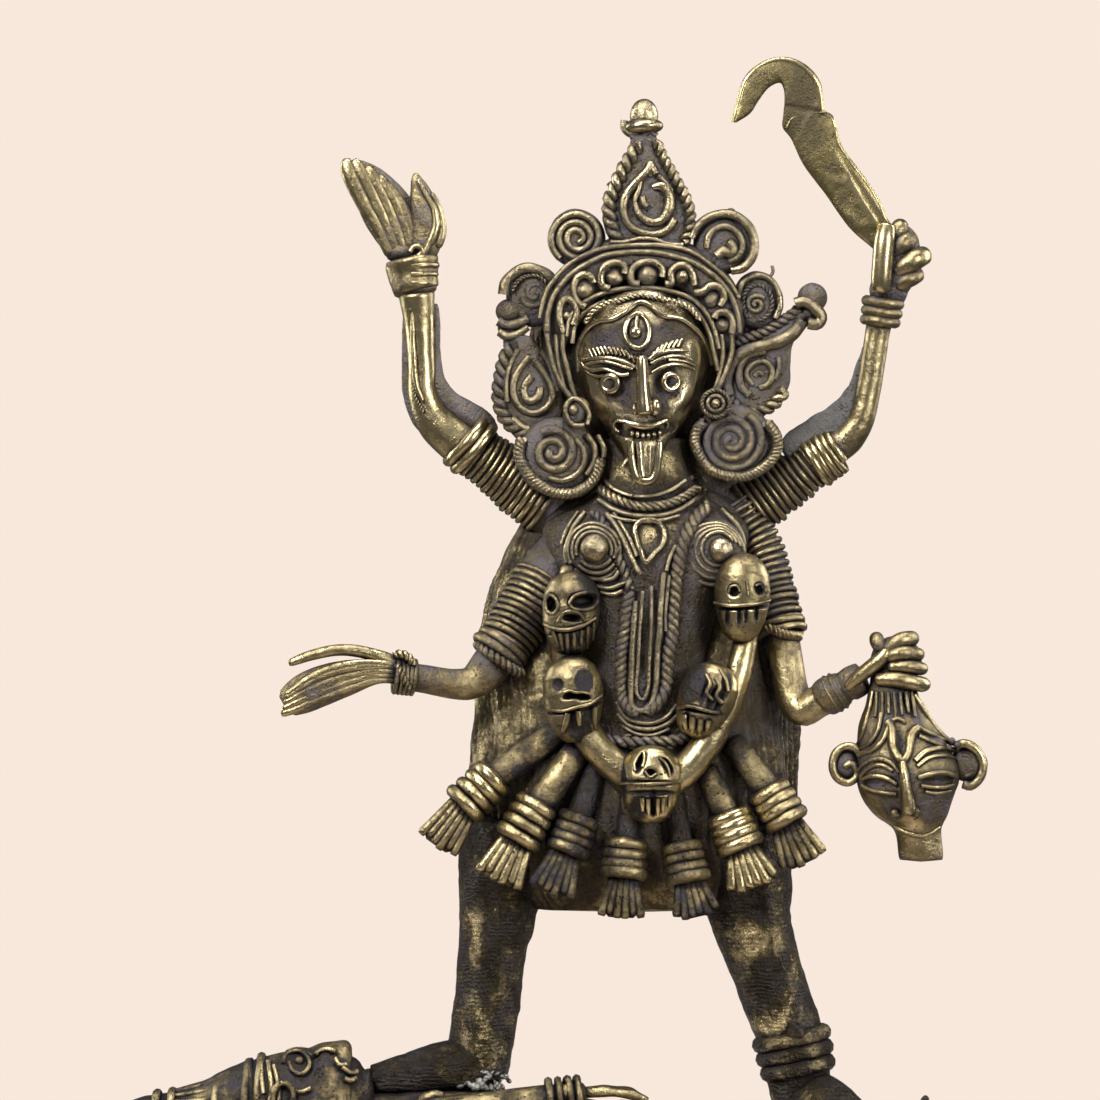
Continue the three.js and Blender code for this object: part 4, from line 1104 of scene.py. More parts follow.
@dataclass
class Curls:
    """The corded curls on her shoulders and the studs at her ears."""

    def build(self, finish: Finish) -> None:
        """Casts the curls."""
        made = Casting("curls")
        y = -10.6
        x, z = 24.2, 183.8
        made.coin((x, y + 4.2, z), (10.4, 4.6, 10), 0.3)
        made.rope(on(y, "765,424 774,436 775,449 768,462 755,472 740,477 723,476 708,469 699,457 694,444 696,431 "
            "704,423"), 1.5, 0.75, 3, strands=3)
        made.thread(spiral((x - 0.8, y, z + 0.3), 8, 0.9, 2.9, 60, -1), 1.15, 0.45)
        x, z = -21.6, 180.2
        made.coin((x, y + 4.2, z), (10.6, 4.6, 10.4), 0.3)
        made.rope(on(y, "521,440 519,455 525,470 537,483 553,492 570,494 586,487 596,474 600,460"), 1.55, 0.8, 3.2,
            Lay.LEFT, strands=3)
        made.thread(spiral((-22.6, y - 0.2, 181.2), 5.9, 0.9, 1.9, 120, -1), 1.3, 0.5)
        made.wires(y, ".9: 575,440 583,450 584,462 577,474 563,481 548,478 | .8: 586,436 594,447 594,462 586,475 | "
            ".75: 597,436 603,447 603,458", 0.75)
        x, z = -16.6, 191.6
        made.coin((x, -11.4, z), (3.3, 3, 4), 0.4, 30)
        made.wires(-14.4, ".7: 584,427 573,426 566,417 566,406 573,400 582,405 589,417 587,426", 0.8)
        made.ball((-17.4, -14.6, 192.1), (1.3, 1.2, 1.4), 0.85, segments=14)
        x, z = 19.2, 193.7
        made.coin((x, -11.6, z), (3.9, 3, 4), 0.35)
        made.rope(arc((x, -14.6, z), 3.45, 0, 340, 18), 0.6, 0.7, 2, closed=True)
        made.thread(arc((x, -14.8, z), 2, 0, 345, 14), 0.55, 0.8, closed=True)
        made.ball((x, -15, z), (1.2, 1.1, 1.2), 0.95, segments=14)
        made.cast(finish)


@dataclass
class BreastWork:
    """Her necklaces, breasts of wound wire, and the long ropes with their inner wires."""

    def build(self, finish: Finish) -> None:
        """Casts them."""
        made = Casting("necklaces")
        self._necklaces(made)
        self._breasts(made)
        self._ropes(made)
        made.cast(finish)

    def _necklaces(self, made: Casting) -> None:
        """Lays the plain necklaces and the braid between them."""
        front = TRUNK.front
        made.wires(front, ".6: 604,481 612,489 624,495 638,497.5 655,496 671,490 684,481 | .75: 598,500 612,509 "
            "628,514.5 645,516.5 662,515.5 680,509 694,500 704,491 | .55: 606,515 622,519.5 640,521.5 660,521 "
            "678,516 | .6: 690,478 700,476 706,482", 0.85, 0.9)
        braid = "599,489 612,498 628,504.5 646,507 664,505 682,498 696,489"
        made.rope(on(front, braid, 1.1), 1.35, 0.85, 5.2, across=UP, strands=3)
        loop = "648,520 657,523 663,532 661,544 653,553 645,562 640,552 636,540 634,528 639,521.5"
        made.thread(on(front, loop, 0.8), 0.78, 1, closed=True, step=0.6)

    def _breasts(self, made: Casting) -> None:
        """Winds the breasts' rings round their domed beads."""
        front = TRUNK.front
        x, z = -12, 156.5
        made.coin((x, front(x, z) + 2, z), (6.6, 5, 7.2), 0.15)
        y = front(x, z) - 3
        for n, radius in enumerate((4.5, 5.6, 6.7)):
            made.thread(arc((x - 0.2, y + 0.5 * n, z - 0.4), radius, -18 - 6 * n, 198 + 6 * n, 22), 0.6, 0.85)
            made.thread(arc((x + 0.4, y + 0.5 * n, z - 0.4 - 0.5 * n), radius, 215, 325, 14), 0.6, 0.7)
        made.ball((x, y - 0.2, z), (3.7, 2.8, 3.7), 1, segments=32)
        x, z = 19.8, 156.3
        made.coin((x - 0.8, front(x, z) + 2, z - 0.8), (8.2, 5, 8.6), 0.15)
        y = front(x, z) - 3
        for n, radius in enumerate((4.3, 5.5, 6.7, 7.9)):
            made.thread(arc((x - 0.35 * n, y + 0.5 * n, z - 0.45 * n), radius, 30 - 8 * n, 330, 30), 0.58, 0.85)
        made.ball((20.5, y - 0.2, 156), (3.2, 2.6, 3.3), 1, segments=32)
        made.wires(front, ".85: 584,512 576,524 570,538 566,552 567,562 | 1: 722,509 731,519 738,532 741,545 737,556 "
            "| .6: 578,512 569,526 562,544 | .6: 584,569 594,573 606,571 612,566 | .6: 590,577 602,580 614,577 "
            "618,571 | .6: 596,586 608,588 620,584 628,580 | .55: 600,592 612,594 622,590", 0.85, 0.8)

    def _ropes(self, made: Casting) -> None:
        """Lays the long ropes, the wires within them and the loops below."""
        front = TRUNK.front
        made.rope(on(front, "706,507 696,517 688,530 682,543 678,558 676,575 674,592 673,612 671,632 668,652 666,672 "
            "664,688 656,702 644,710"), 1.95, 0.6, 6.4, Lay.LEFT, strands=3)
        made.rope(on(front, "628,592 625,612 623,632 621,652 620,672 620,690 625,704 636,712"), 1.8, 0.45, 5.6,
            strands=3)
        made.rope(on(front, "592,512 603,524 611,540 617,556 624,572 629,590", 0.6), 1.3, 0.6, 4.4)
        made.wires(front, ".8: 606,514 616,527 624,543 632,560 639,574 | .6: 613,513 622,526 630,542 636,556 | .85: "
            "662,572 660,600 658,630 656,660 654,688 650,702 640,709 631,704 630,690 631,660 632,630 634,600 | .55: "
            "650,585 650,620 648,660 646,690 641,698 636,692 637,660 639,620 641,590 | .6: 668,575 665,600 664,630 | "
            ".6: 616,700 622,713 634,720 650,721 665,715 675,703 | .65: 617,712 626,722 640,727 656,726 670,719 "
            "678,710 | .55: 622,724 636,732 652,733 668,727 | .6: 665,570 668,558 674,546", 0.8, 0.7)
        for n, (x, z) in enumerate(traced("626,734 637,738 648,739 659,739 670,736 633,746 645,747 656,746 667,745")):
            made.ball((x, front(x, z) - 1, z), (1.35, 0.8, 0.62), 0.75, 8 * (n % 3) - 8, segments=12)
        belt = "-17.4,-9,109.6 -10,-15.4,107.4 0,-17,106.6 10,-15.4,107.2 18.6,-9,109.4"
        made.rope(belt, 1.6, 0.6, 5)


@dataclass
class RaisedHandArm:
    """Her upper right arm with the open hand."""

    def build(self, finish: Finish) -> None:
        """Casts the arm."""
        made = Casting("raised_hand_arm")
        upper = rows_of("-16,6,163,8.4 -24,5.6,167.6,8 -32,5,173.6,7.2 -42.6,3,181.6,6")
        made.limb(upper, 0.2)
        made.wound(upper[1:], 13.5, 0.82, 0.8)
        made.rings((-43.2, 2.8, 182.6, 7.2), (-45.2, 2.6, 184.4, 7), 2, 1.5, 1)
        made.limb("-40.6,3.4,180.4,6.2 -47.6,2.6,184.4,5.8 -53.4,1.8,189.6,4.9 -56.4,1,196.4,3.9 -56.8,.6,205,3.6 "
            "-57.5,0,215.8,4 -58.2,-.4,223.4,4.8", 0.85, step=0.9)
        made.limb(on(1.4, "409,300,6 409,330,7 410,365,8 413,395,10 424,418,12 440,432,12"), 0, deep=0.4, rough=0.35)
        made.limb(on(0.6, "434,304,4 435,330,5 436,362,6 439,384,8 450,400,10 466,412,12 484,424,12 492,434,8"), 0.05,
            deep=0.5, rough=0.5)
        made.limb(on(-3.6, "413,304,2 413,330,2.4 414,360,2.6 417,386,2.4 423,402,2"), 0.75, sides=16, step=0.5,
            rough=0.35)
        made.rope(on(-3, "413,330 413,350 414,372 416,396 424,412"), 0.55, 0.6, 1.8)
        made.limb("-58.2,-.2,221.6,5.2 -58.8,-.3,225.6,6.2 -59.4,-.4,230.6,6.9 -59.8,-.5,232.4,6.2", 0.7, deep=0.72,
            rough=0.25)
        made.ball((-61.8, -1.2, 233.4), (5, 3, 2.6), 0.35, 0, 0.4)
        made.limb("-58.3,-.3,223.2,5 -58.4,-.3,223.6,5.8 -58.9,-.3,228,6.2 -59.4,-.3,231.6,6.7 -59.5,-.3,232.2,5.8",
            0.45, step=0.4, rough=0.2)
        for z in (225, 227.3, 229.6):
            turns = np.radians(np.linspace(-95, 10, 9))
            far = 5.45 + 0.09 * (z - 223)
            made.thread([(-58.8 + far * cos(t), -0.3 + far * sin(t), z + 0.3 * cos(t)) for t in turns], 0.8, 0.7)
        made.limb(on(-0.4, "408,262,20 406,246,22 398,228,26 386,208,26 374,190,22 362,174,15 353,162,6"), 0.1,
            deep=0.22, sides=44)
        for path in ("391,255,6 380,232,7 366,207,8 354,183,8.5 348,167,7.5 347,159,4",
                "398,254,6 389,231,7 378,207,8 367,184,8 359,169,7 354,160,4", "404,252,6 397,230,7 388,208,7.5 "
                "378,188,7.5 371,175,6.5 366,167,3.5",
                "410,250,6 406,230,6.5 398,210,7 390,194,7 383,183,6 379,176,3", "414,246,5 412,230,6 406,214,6 "
                "400,203,5.5 395,195,4.5 392,190,3"):
            made.limb(on(-2.6, path), 0.62, sides=20, step=0.7, deep=0.7, rough=0.12)
        made.limb(on(-2.6, "418,258,12 425,246,15 428,230,17 426,212,16 421,194,11 417,181,6 416,174,2.5"), 0.45,
            sides=32, step=0.6, deep=0.55, rough=0.25)
        made.limb(on(-4.2, "424,252,4 432,240,5 436,226,5 434,210,4 426,196,3 418,180,2"), 0.9, sides=18, step=0.6,
            rough=0.12)
        made.limb(on(-3.6, "438,248,4 442,236,4.5 442,222,4 438,206,3.5 432,194,2.5"), 0.7, sides=16, step=0.6,
            rough=0.2)
        made.thread(on(-5.2, "411,253 414,248 420,248 423,253 419,257"), 0.8, 0.85)
        made.thread(on(-5, "430,244 423,256 412,260"), 0.9, 0.8)
        made.cast(finish)


@dataclass
class SwordArm:
    """Her upper left arm, its fist, and the curved sword."""

    def build(self, finish: Finish, blade: Finish, crust: Finish) -> None:
        """Casts the arm and the sword."""
        made = Casting("sword_arm")
        upper = rows_of("18,6,161.6,8 28,5.6,166.6,7.4 38,5,173.4,6.4 45,4.2,178.6,5.6 51.6,3.4,182.6,4.9")
        made.limb(upper, 0.15)
        made.wound(upper[1:4], 11.5, 0.8, 0.65)
        made.wound(upper[3:], 4.6, 1, 1, 0.8)
        made.limb("50.4,3.4,182.4,4.6 54.2,2.6,185.2,4.2 57.4,1.8,190,3.6 59.4,1.2,197.6,3.3 60.8,.8,206,3.2 "
            "62,.4,214,3.3 63.6,0,222,4.2", 0.7, step=0.9)
        made.rings((62.5, 0.2, 215.6, 3.9), (63.1, 0, 220.2, 4.2), 3, 1.5, 0.4)
        made.ball((67, -1, 230.6), (5.6, 5.2, 10), 0.35, 12, 0.5)
        made.ball((64.6, -0.4, 223.6), (5, 4.6, 4.6), 0.1, 12, 0.5)
        for wear_and_light, finger in ((0.6, "64.6,-3.4,236,1.9 67,-4.4,239.2,2.3 67.8,.6,240,2.1"), (0.65,
                "65,-4,232.4,2 68.4,-5,235.6,2.5 70.4,-.6,236.4,2.3"), (0.85, "65.6,-4,228,2.2 71,-5,231.2,2.8 "
                "73.8,-1,232.6,2.5"), (0.7, "66.2,-3.4,224.6,2 69.8,-4,226.4,2.3 72.4,-1,227.8,2.1")):
            made.limb(finger, wear_and_light, sides=20, step=0.7, rough=0.15)
        made.limb("62.2,-5.4,223.2,2.2 62.3,-6.2,225,2.6 62.6,-6.8,230,2.7 63.2,-6.6,236.6,2.7 63.8,-5.6,240.2,2.3",
            1.15, sides=32, step=0.5, rough=0.03)
        made.cast(finish)
        web = Casting("arm_web")
        web.limb(on(1.4, "868,344,4 865,362,7 860,385,9 850,405,12 830,422,13 804,436,13 782,452,10"), 0.3, deep=0.35,
            rough=0.9)
        web.cast(crust)
        sword = Casting("sword")
        self._blade(sword)
        sword.cast(blade)

    def _blade(self, sword: Casting) -> None:
        """Skins the blade between its outer and inner edges, with the step across it."""
        outer = spline(on(0, "898,236 885,218 881,206 873,191 856,168 840,144 833,118 829,114 824,112 820,84 806,66 "
            "784,58 760,65 744,81 737,104 733,123"), 0.25)
        inner = spline(on(0, "880,256 868,246 852,232 838,214 824,194 802,164 790,139 782,128 783,115 784,105 784,92 "
            "780,84 769,88 758,102 750,114 735,124"), 0.25)

        def place(u: Array, v: Array) -> Array:
            """Positions on a thin lens between the edges."""
            out, back = (along(edge, v)[:, [0, 2]] for edge in (outer, inner))
            rim = held(v)
            share = (1 + rim * np.cos(TURN * u)) / 2
            flat = back + (out - back) * share[:, None]
            edge = np.abs(np.cos(TURN * u)) ** 6
            lower = np.clip((0.545 - v) * 40, 0, 1)
            deep = rim * signed(np.sin(TURN * u), 0.55) * (1.5 + 0.35 * lower - 0.3 * edge)
            return np.stack([flat[:, 0], -3 + deep, flat[:, 1]], axis=1)

        form = sword.skin(place, 80, 260, 0.22, 0.1)
        edge = [outer[int(n)] * 0.93 + inner[int(n * (len(inner) - 1) / (len(outer) - 1))] * 0.07 for n
            in np.linspace(0, len(outer) - 1, 60)]
        sword.thread([(x, -3.5, z) for x, _, z in edge], 0.8, 0.8, step=1, sides=4)
        sword.thread(on(-4.15, "786,129 790,121 799,117 812,115 826,114"), 0.32, 0.5)
        eaten = ("52.8,247,2,3.4,-35,.4,-.45 56.7,242.8,1.2,2.4,-35,.4,-.45 49.9,254.3,3.4,1.2,20,.4,-.5 "
            "59.8,245.7,.9,12,-32,.3,-.8 43.2,265.2,5,6,0,0,-.3 57.7,247,1.4,14,-32,-.3,.5 44.2,269.9,7,.6,10,.5,-1 "
            "41.6,275.6,5,9,0,0,-.35 59.3,236.6,3,3,0,.2,.4 54.6,249.6,8,12,-30,0,.3")
        sword.touch(form, eaten)


@dataclass
class GivingArm:
    """Her lower right arm, held out with the open hand."""

    def build(self, finish: Finish) -> None:
        """Casts the arm."""
        made = Casting("giving_arm")
        upper = rows_of("-18,1,156,8 -24,-1,148.6,8 -30.4,-3.4,139,7.2 -36,-6,130.4,6.2")
        made.limb(upper, 0.15)
        made.wound(upper[1:], 12.5, 0.85, 0.7)
        made.rings((-35.6, -5.8, 131, 6.4), (-36.8, -6.3, 129.4, 6.6), 2, 1.3, 0.7)
        made.rope("-42,-8,131.6 -38.6,-12.6,129.2 -34,-13.2,126 -30.6,-10,124", 1.5, 0.75, 3.4)
        made.limb("-35,-5.6,131.4,5.6 -39.4,-7.6,125.4,5.2 -43.4,-9.4,121.8,4.4 -48.1,-11,121.4,3.9 "
            "-55.6,-12.8,122.7,3.7 -61.4,-13.8,123.6,3.6", 0.4, step=0.9)
        made.rings((-58.6, -13.2, 123.2, 4.2), (-63, -14, 123.8, 4.4), 5, 0.72, 0.75)
        made.rope("-58.4,-16.6,126.6 -60.4,-17.4,129 -63.4,-16.8,129.4", 1.2, 0.85, 3)
        made.rope("-59.6,-17.6,120.4 -61.2,-18.6,123.6 -62.6,-17.6,126.6", 0.9, 0.75, 2.6)
        palm = rows_of("-61.6,-14,124.2,2.8 -67.6,-15.6,124.6,3 -74.9,-16.8,123.3,4.5 -82.9,-17.8,120.8,5.2 "
            "-87.8,-18.4,118.4,4.8 -91.6,-18.8,116.2,3.4")
        made.limb(palm, 0.6, sides=36, deep=0.42, rough=0.08)
        for offset in (-2.7, -1.1, 0.5, 2.1, 3.1):
            spots = [(x + 0.3 * offset * r / 4, y - 1.1, z + offset * r / 4, 0.45 + 0.14 * r) for x, y, z, r in palm]
            made.limb(spots, 0.9, sides=14, step=0.8, rough=0.06)
        made.limb("-61,-13.8,125.6,2.2 -66.3,-15.2,128.2,1.8 -72.8,-16.4,130,1.6 -78,-17.2,130.3,1.5 "
            "-84.5,-17.8,129,1.4 -90.5,-18.2,126.9,1", 0.95, sides=18, step=0.8, rough=0.1)
        made.cast(finish)


@dataclass
class HeadArm:
    """Her lower left arm, and the cut head that hangs from its fist."""

    def build(self, finish: Finish) -> None:
        """Casts the arm and the head."""
        made = Casting("head_arm")
        upper = rows_of("24,3,168,5.8 31,1.4,156,5.8 34,-.6,146,5.6 36.4,-3.6,136,5.2")
        made.limb(upper, 0.15)
        made.wound(upper, 19, 0.75, 0.55)
        made.rings((36.2, -3.6, 136.6, 5.8), (36.6, -4, 134.8, 6), 2, 1, 0.7)
        made.rope("31.2,-5,134.4 33.6,-9.2,135.6 37.4,-9.6,134.4 41.4,-6.4,133.8", 1.4, 0.8, 3, strands=3)
        made.limb("36.6,-4,136,4.3 37.7,-5.4,127.4,4.4 39.4,-7.2,118.4,4.5 41.6,-9,114.9,4.4 45.6,-10.8,116.8,4.2 "
            "50,-12.4,119.2,4.2 57,-15,123.6,3.8", 0.8, step=0.9)
        made.limb("46.8,-11.2,117.2,4.4 48,-11.8,118.1,4.9 51.4,-12.8,119.9,4.7 52.6,-13.2,120.6,4.2", 0.45, step=0.5,
            rough=0.35)
        made.limb("52.8,-13.2,120.2,4.1 54,-13.8,121.4,4.4 56,-14.4,122.6,4.3 57.4,-14.8,123.4,3.9", 0.6, step=0.5,
            rough=0.25)
        made.rings((49.4, -12.2, 118.9, 4.9), (50.8, -12.5, 119.7, 4.8), 2, 0.45, 0.7)
        made.ball((65.6, -16, 127.4), (6.6, 4.6, 6.6), 0.1, -20, 0.3)
        for wear_and_light, finger in ((0.7, "62,-18.6,130,1.8 60.6,-18.8,132.4,1.9 60.4,-16.4,133.6,1.8"), (0.8,
                "62.4,-19.2,130,1.7 66.2,-20,132.6,2.2 69,-18.4,133.2,2.1 69.8,-15,133.2,1.6"), (0.8,
                "62.8,-19.8,128.6,1.7 66.8,-21,129.6,2 70.6,-18.8,129.2,1.8 71.4,-15,129.2,1.5"), (0.85,
                "63.4,-20,126,1.5 67.8,-21.2,126.2,1.8 71.6,-18.8,125.6,1.7 72.4,-15,125.6,1.4"), (0.85,
                "60,-19.4,122.8,1.7 66,-21.4,122.8,2.1 71.6,-19,121.6,2 73,-15,121.4,1.6")):
            made.limb(finger, wear_and_light, sides=18, step=0.7, rough=0.12)
        made.limb("52.6,-16.6,120.6,1.5 57,-18.8,124.4,1.9 61.4,-20.4,128.2,1.8 63.2,-20.6,130.4,1.3", 1.05, sides=20,
            step=0.6, rough=0.05)
        made.cast(finish)
        head = Casting("cut_head")
        self._head(head)
        head.cast(finish)

    def _head(self, head: Casting) -> None:
        """Models the cut head, its eyes closed and its hair drawn up."""
        front = CUT_HEAD.front
        form = head.stack(CUT_HEAD, 0.6, sides=90, step=0.6, rough=0.2)
        head.touch(form, "60.3,96.5,4.4,1.5,0,1,-.7 76.4,97,5,1.2,-3,1.3,-.9 75.4,91,5,6,10,.3,-.75 "
            "64,92.3,2.5,5.5,-10,.3,-.5 72.3,81.1,4,6,0,0,.25 65,117,4.5,5,0,.1,-.2 65.8,105.3,.9,4.4,0,1.2,-.9 "
            "68.9,115.7,1.2,5,-30,.6,-.6")
        nose = "895,757,3.4 897,771,4.6 899,785,5.6 901,798,6.8 902,808,6.8"
        head.limb(on(front, nose, 1), 1.05, sides=22, step=0.5, rough=0.04, deep=1.2)
        for spot, radii in (((64.7, 88.9), (1.4, 1.2, 1.1)), ((69.9, 89.2), (1.1, 1.2, 1.3))):
            head.ball((spot[0], front(*spot) - 0.4, spot[1]), radii, 0.85, segments=14)
        head.wires(front, "1.15: 881,719 885,723 886,733 887,744 891,753 896,757 901,750 903,741 905,732 909,727 "
            "913,725 | .6: 883,720 891,716 899,720 | .62: 854,767 862,758 874,755 884,759 892,768 | .6: 856,773 "
            "864,764 875,761 886,767 | .6: 857,776 866,772 877,773 890,780 | .6: 857,782 868,787 879,789 890,790 | "
            ".8: 908,757 919,748 932,745 947,748 | .55: 910,762 922,754 935,752 948,755 | .7: 911,773 922,770 "
            "935,769 950,772 | .6: 914,781 927,783 940,783 948,781 | .5: 918,787 930,789 944,787 | .55: 890,823 "
            "903,829 918,831 934,823 | .8: 883,722 878,735 868,746 854,752 | .65: 876,710 872,728 864,740 853,748 | "
            ".8: 911,724 925,731 940,738 955,743 | .65: 913,733 926,739 941,745 954,748 | .85: 909,693 921,711 "
            "933,728 944,739 | .6: 868,690 864,710 858,730 853,744", 0.85, 0.2)
        for n in range(7):
            x, z = 60.3 + 1.5 * n, 119.6
            strand = [(x, z), (x - 0.15 + 0.1 * n, z - 3.2), (x - 0.5 + 0.2 * n, z - 6.4 + 0.5 * (n % 3))]
            head.thread(on(front, strand, 0.2), 0.5, 0.6)
        head.ball((52.6, -17.6, 100.8), (3.9, 2.2, 4), 0.4)
        head.thread(on(-19.4, "857,752 849,744 839,744 831,752 829,764 834,775 844,780 852,774 852,765 846,760 "
            "841,764"), 1.05, 0.9)
        head.ball((84, -17.6, 101), (5, 2.2, 4.6), 0.3)
        head.thread(on(-19.4, "950,744 957,741 965,743 973,750 977,762 974,775 965,783 957,781"), 1.15, 0.9)
        head.thread(on(-19, "957,752 964,754 968,762 965,771 959,773"), 0.7, 0.6)
        for spot in traced("946,738 951,742 943,745"):
            head.ball((spot[0], -20.6, spot[1]), (0.9, 0.9, 0.9), 0.4, segments=12)


@dataclass
class Skull:
    """One skull of the garland.

    Attributes:
        centre: Its middle.
        size: Its half width and half height.
        lean: How far it leans to the viewer's right, in degrees.
        wear_and_light: How brightly it is rubbed.
        plump: How thick its teeth are.
        marks: Its sockets and slots, as Casting.touch takes them.
        teeth: The tops and the feet of its teeth.
        rims: The wires round its sockets and along its lip, as Casting.wires takes them.
    """

    centre: tuple[float, float, float]
    size: tuple[float, float]
    lean: float
    wear_and_light: float
    plump: float
    marks: str
    teeth: tuple[str, str]
    rims: str

    def reach(self, up: Array) -> Array:
        """The half width of its outline at heights up, from -1 at its chin to 1 at its crown."""
        rows = np.array(rows_of("-1,.2 -.94,.42 -.8,.64 -.5,.84 -.2,.95 .15,1 .5,.94 .75,.76 .92,.46 1,.12"))
        return np.interp(up, rows[:, 0], rows[:, 1])

    def front(self, x: float, z: float) -> float:
        """The y of its front at x and z."""
        c, s = cos(radians(self.lean)), sin(radians(self.lean))
        across, along = x - self.centre[0], z - self.centre[2]
        reach = float(self.reach((across * s + along * c) / self.size[1]))
        side = (across * c - along * s) / (self.size[0] * reach)
        return self.centre[1] - 6.2 * reach * sqrt(max(0.05, 1 - side**2))

    def build(self, made: Casting) -> None:
        """Models it."""
        c, s = cos(radians(self.lean)), sin(radians(self.lean))
        x, y, z = self.centre

        def place(u: Array, v: Array) -> Array:
            """Positions on the skull."""
            up = -1 + 2 * v
            reach = self.reach(up) * held(v)
            side, front = reach * np.cos(TURN * u), -reach * np.sin(TURN * u)
            a, b = side * self.size[0], up * self.size[1]
            return np.stack([x + a * c + b * s, y + 6.2 * front, z - a * s + b * c], axis=1)

        deeper = [(*mark[:5], mark[5] * 1.6, mark[6] - 0.35) for mark in rows_of(self.marks)]
        made.touch(made.skin(place, 80, 60, self.wear_and_light, 0.1), deeper)
        for top, foot in zip(*map(traced, self.teeth)):
            middle = ((top[0] + foot[0]) / 2, (top[1] + foot[1]) / 2, 0.7 * self.plump)
            line = [(*top, 0.62 * self.plump), middle, (*foot, 0.45 * self.plump)]
            made.thread(on(self.front, line, 0.1), None, self.wear_and_light + 0.1, step=0.6)
        made.wires(self.front, self.rims, self.wear_and_light - 0.1, 0.05)


@dataclass
class Garland:
    """The skulls on their thick cord."""

    cord: str = ("-17,-10,152,3.6 -19.4,-14,131,4 -15.6,-16.2,112,4.2 -9.6,-17.4,103.4,4.2 -2.4,-18.4,97.6,4.4 "
        "2.4,-18.6,95.6,4.5 9.4,-18.2,98,4.2 15.6,-17.4,104.4,3.9 21,-16.4,113.6,3.8 25,-14.6,124,3.4 27,-13,134,3.2 "
        "28,-11,150,3.4")
    skulls: tuple[Skull, ...] = (Skull((-18, -16.8, 139.8), (7.5, 10.9), 4, 0.5, 0.9,
        "-23.1,142.2,1.3,2.2,0,2.2,-1.2 -15.1,143,2.9,1.7,0,2.2,-1.2 -17.9,138.6,2,.8,4,1.6,-1.1 "
        "-18.2,135.5,7,.4,-12,.9,-.9 -17.7,146.1,4.5,2.6,0,-.2,.2 -12.5,149.2,3,3,0,.1,-.6",
        ("553,630 560,632 567,632 574,631 581,628.5 587,625 593,621", "559,643 563,648 568,652 574,654 580,652.5 "
        "586,647 592,639"), ".5: 569,602 574,595 584,592 595,593 597,600 592,607 580,609 572,607 569,602 | .5: "
        "546,600 550,594 556,598 558,606 553,613 547,610 546,600 | .5: 558,621 563,612 572,610 580,613 584,620 | .7: "
        "545,623 556,628 568,628.5 580,625 595,617"), Skull((-17.4, -18.4, 117.8), (7.8, 11.4), -4, 0.55, 1.2,
        "-18.2,118.8,1.7,.7,-16,1.6,-1 -15.6,118.6,2.2,.65,10,1.7,-1 -14.8,122.7,2.2,3,0,.4,-1.2 "
        "-21.3,121.7,1.3,1.6,0,.5,-.7 -20.3,114.4,4.6,.4,-4,.8,-.8 -13,116,3.4,.4,-22,.7,-.7 "
        "-15.1,109.5,2,3,-20,.5,-1.1 -17.4,111.8,1.3,3.2,0,.7,-.8 -13.8,113.4,1.2,3,0,.6,-.8",
        ("568,710 578,708 594,705", "563,729 579,722 595,727"), ".5: 551,708 562,708 574,705 588,702 600,694 | .45: "
        "563,690 569,688 575,690 582,690 589,692"), Skull((2.4, -20.8, 96), (8, 10.1), 2, 0.85, 1,
        "-.3,101.7,.85,2.5,24,1.3,-.9 6.5,100.9,.85,2.2,-32,1.2,-.8 2.2,99.1,1.1,.9,0,1.2,-1 "
        "2.6,96.7,7.4,.5,3,.5,-.5 2.6,94.1,7,.6,0,.7,-.6 -1,89.7,2.6,4.2,10,.7,-.8 2.9,91.3,.8,3.2,0,1.1,-.9 "
        "-5.2,95.7,1.4,6,0,.2,-1", ("640,793 646,794 656,794 661,793 668,791", "641,806 647,810 656,811 661,808 "
        "667,802"), ".4: 634,767 633,760 636,753 641,748 643,755 641,763 | .4: 657,754 662,758 666,765 667,772 | "
        ".35: 643,767 648,773 654,769 | .5: 621,780 640,779.5 660,779 679,778"), Skull((16.6, -18.6, 117.4), (7.4,
        10.2), 22, 0.55, 1.35, "14.8,114.9,5.2,.45,8,1.2,-.9 13.5,122.2,3,4.6,20,.3,-1.1 "
        "21.6,121.4,1.4,3.4,15,.5,-.9 11.4,112.3,.6,2.6,10,.8,-.6 17.9,117.8,.6,3.4,20,.8,-.7 "
        "19.8,117,.6,2.8,20,.8,-.7 16.1,119.6,.6,3,20,.7,-.6", ("682,712 690,714 698,716 706,717",
        "684,726 690,730 697,732 704,728"), ".55: 677,706 686,704 696,706 708,709 716,710 | .6: 704,672 708,681 "
        "704,690 710,698 | .6: 713,675 717,685 713,693 719,701 | .5: 718,668 723,678 725,689"), Skull((26, -16.2,
        143.8), (7.2, 11.6), 2, 0.5, 1, "25.5,141.2,7.6,.45,-3,1.3,-1 23.7,145.6,1.2,1.4,0,1.1,-.9 "
        "30.2,146.1,1,1.3,0,1.1,-.8 20,138.8,.5,2,0,.8,-.7 22.1,138.8,.5,2.2,0,.8,-.7 25,139.1,.5,2.2,0,.8,-.7 "
        "26.8,139.1,.45,2,0,.8,-.7 29.4,139.6,.5,2,0,.8,-.7 26,150.8,4,3,0,0,.4", ("", ""),
        ".5: 712,602 724,604.5 740,604.5 755,602.5 767,600 | .35: 726,592 728,586 734,585 737,591 | .35: 752,585 "
        "757,583 760,588 | .4: 743,580 744,588 745,595"))

    def build(self, finish: Finish) -> None:
        """Casts the garland."""
        made = Casting("garland")
        made.limb(self.cord, 0.75, step=1.2, rough=0.35)
        for skull in self.skulls:
            skull.build(made)
        made.cast(finish)


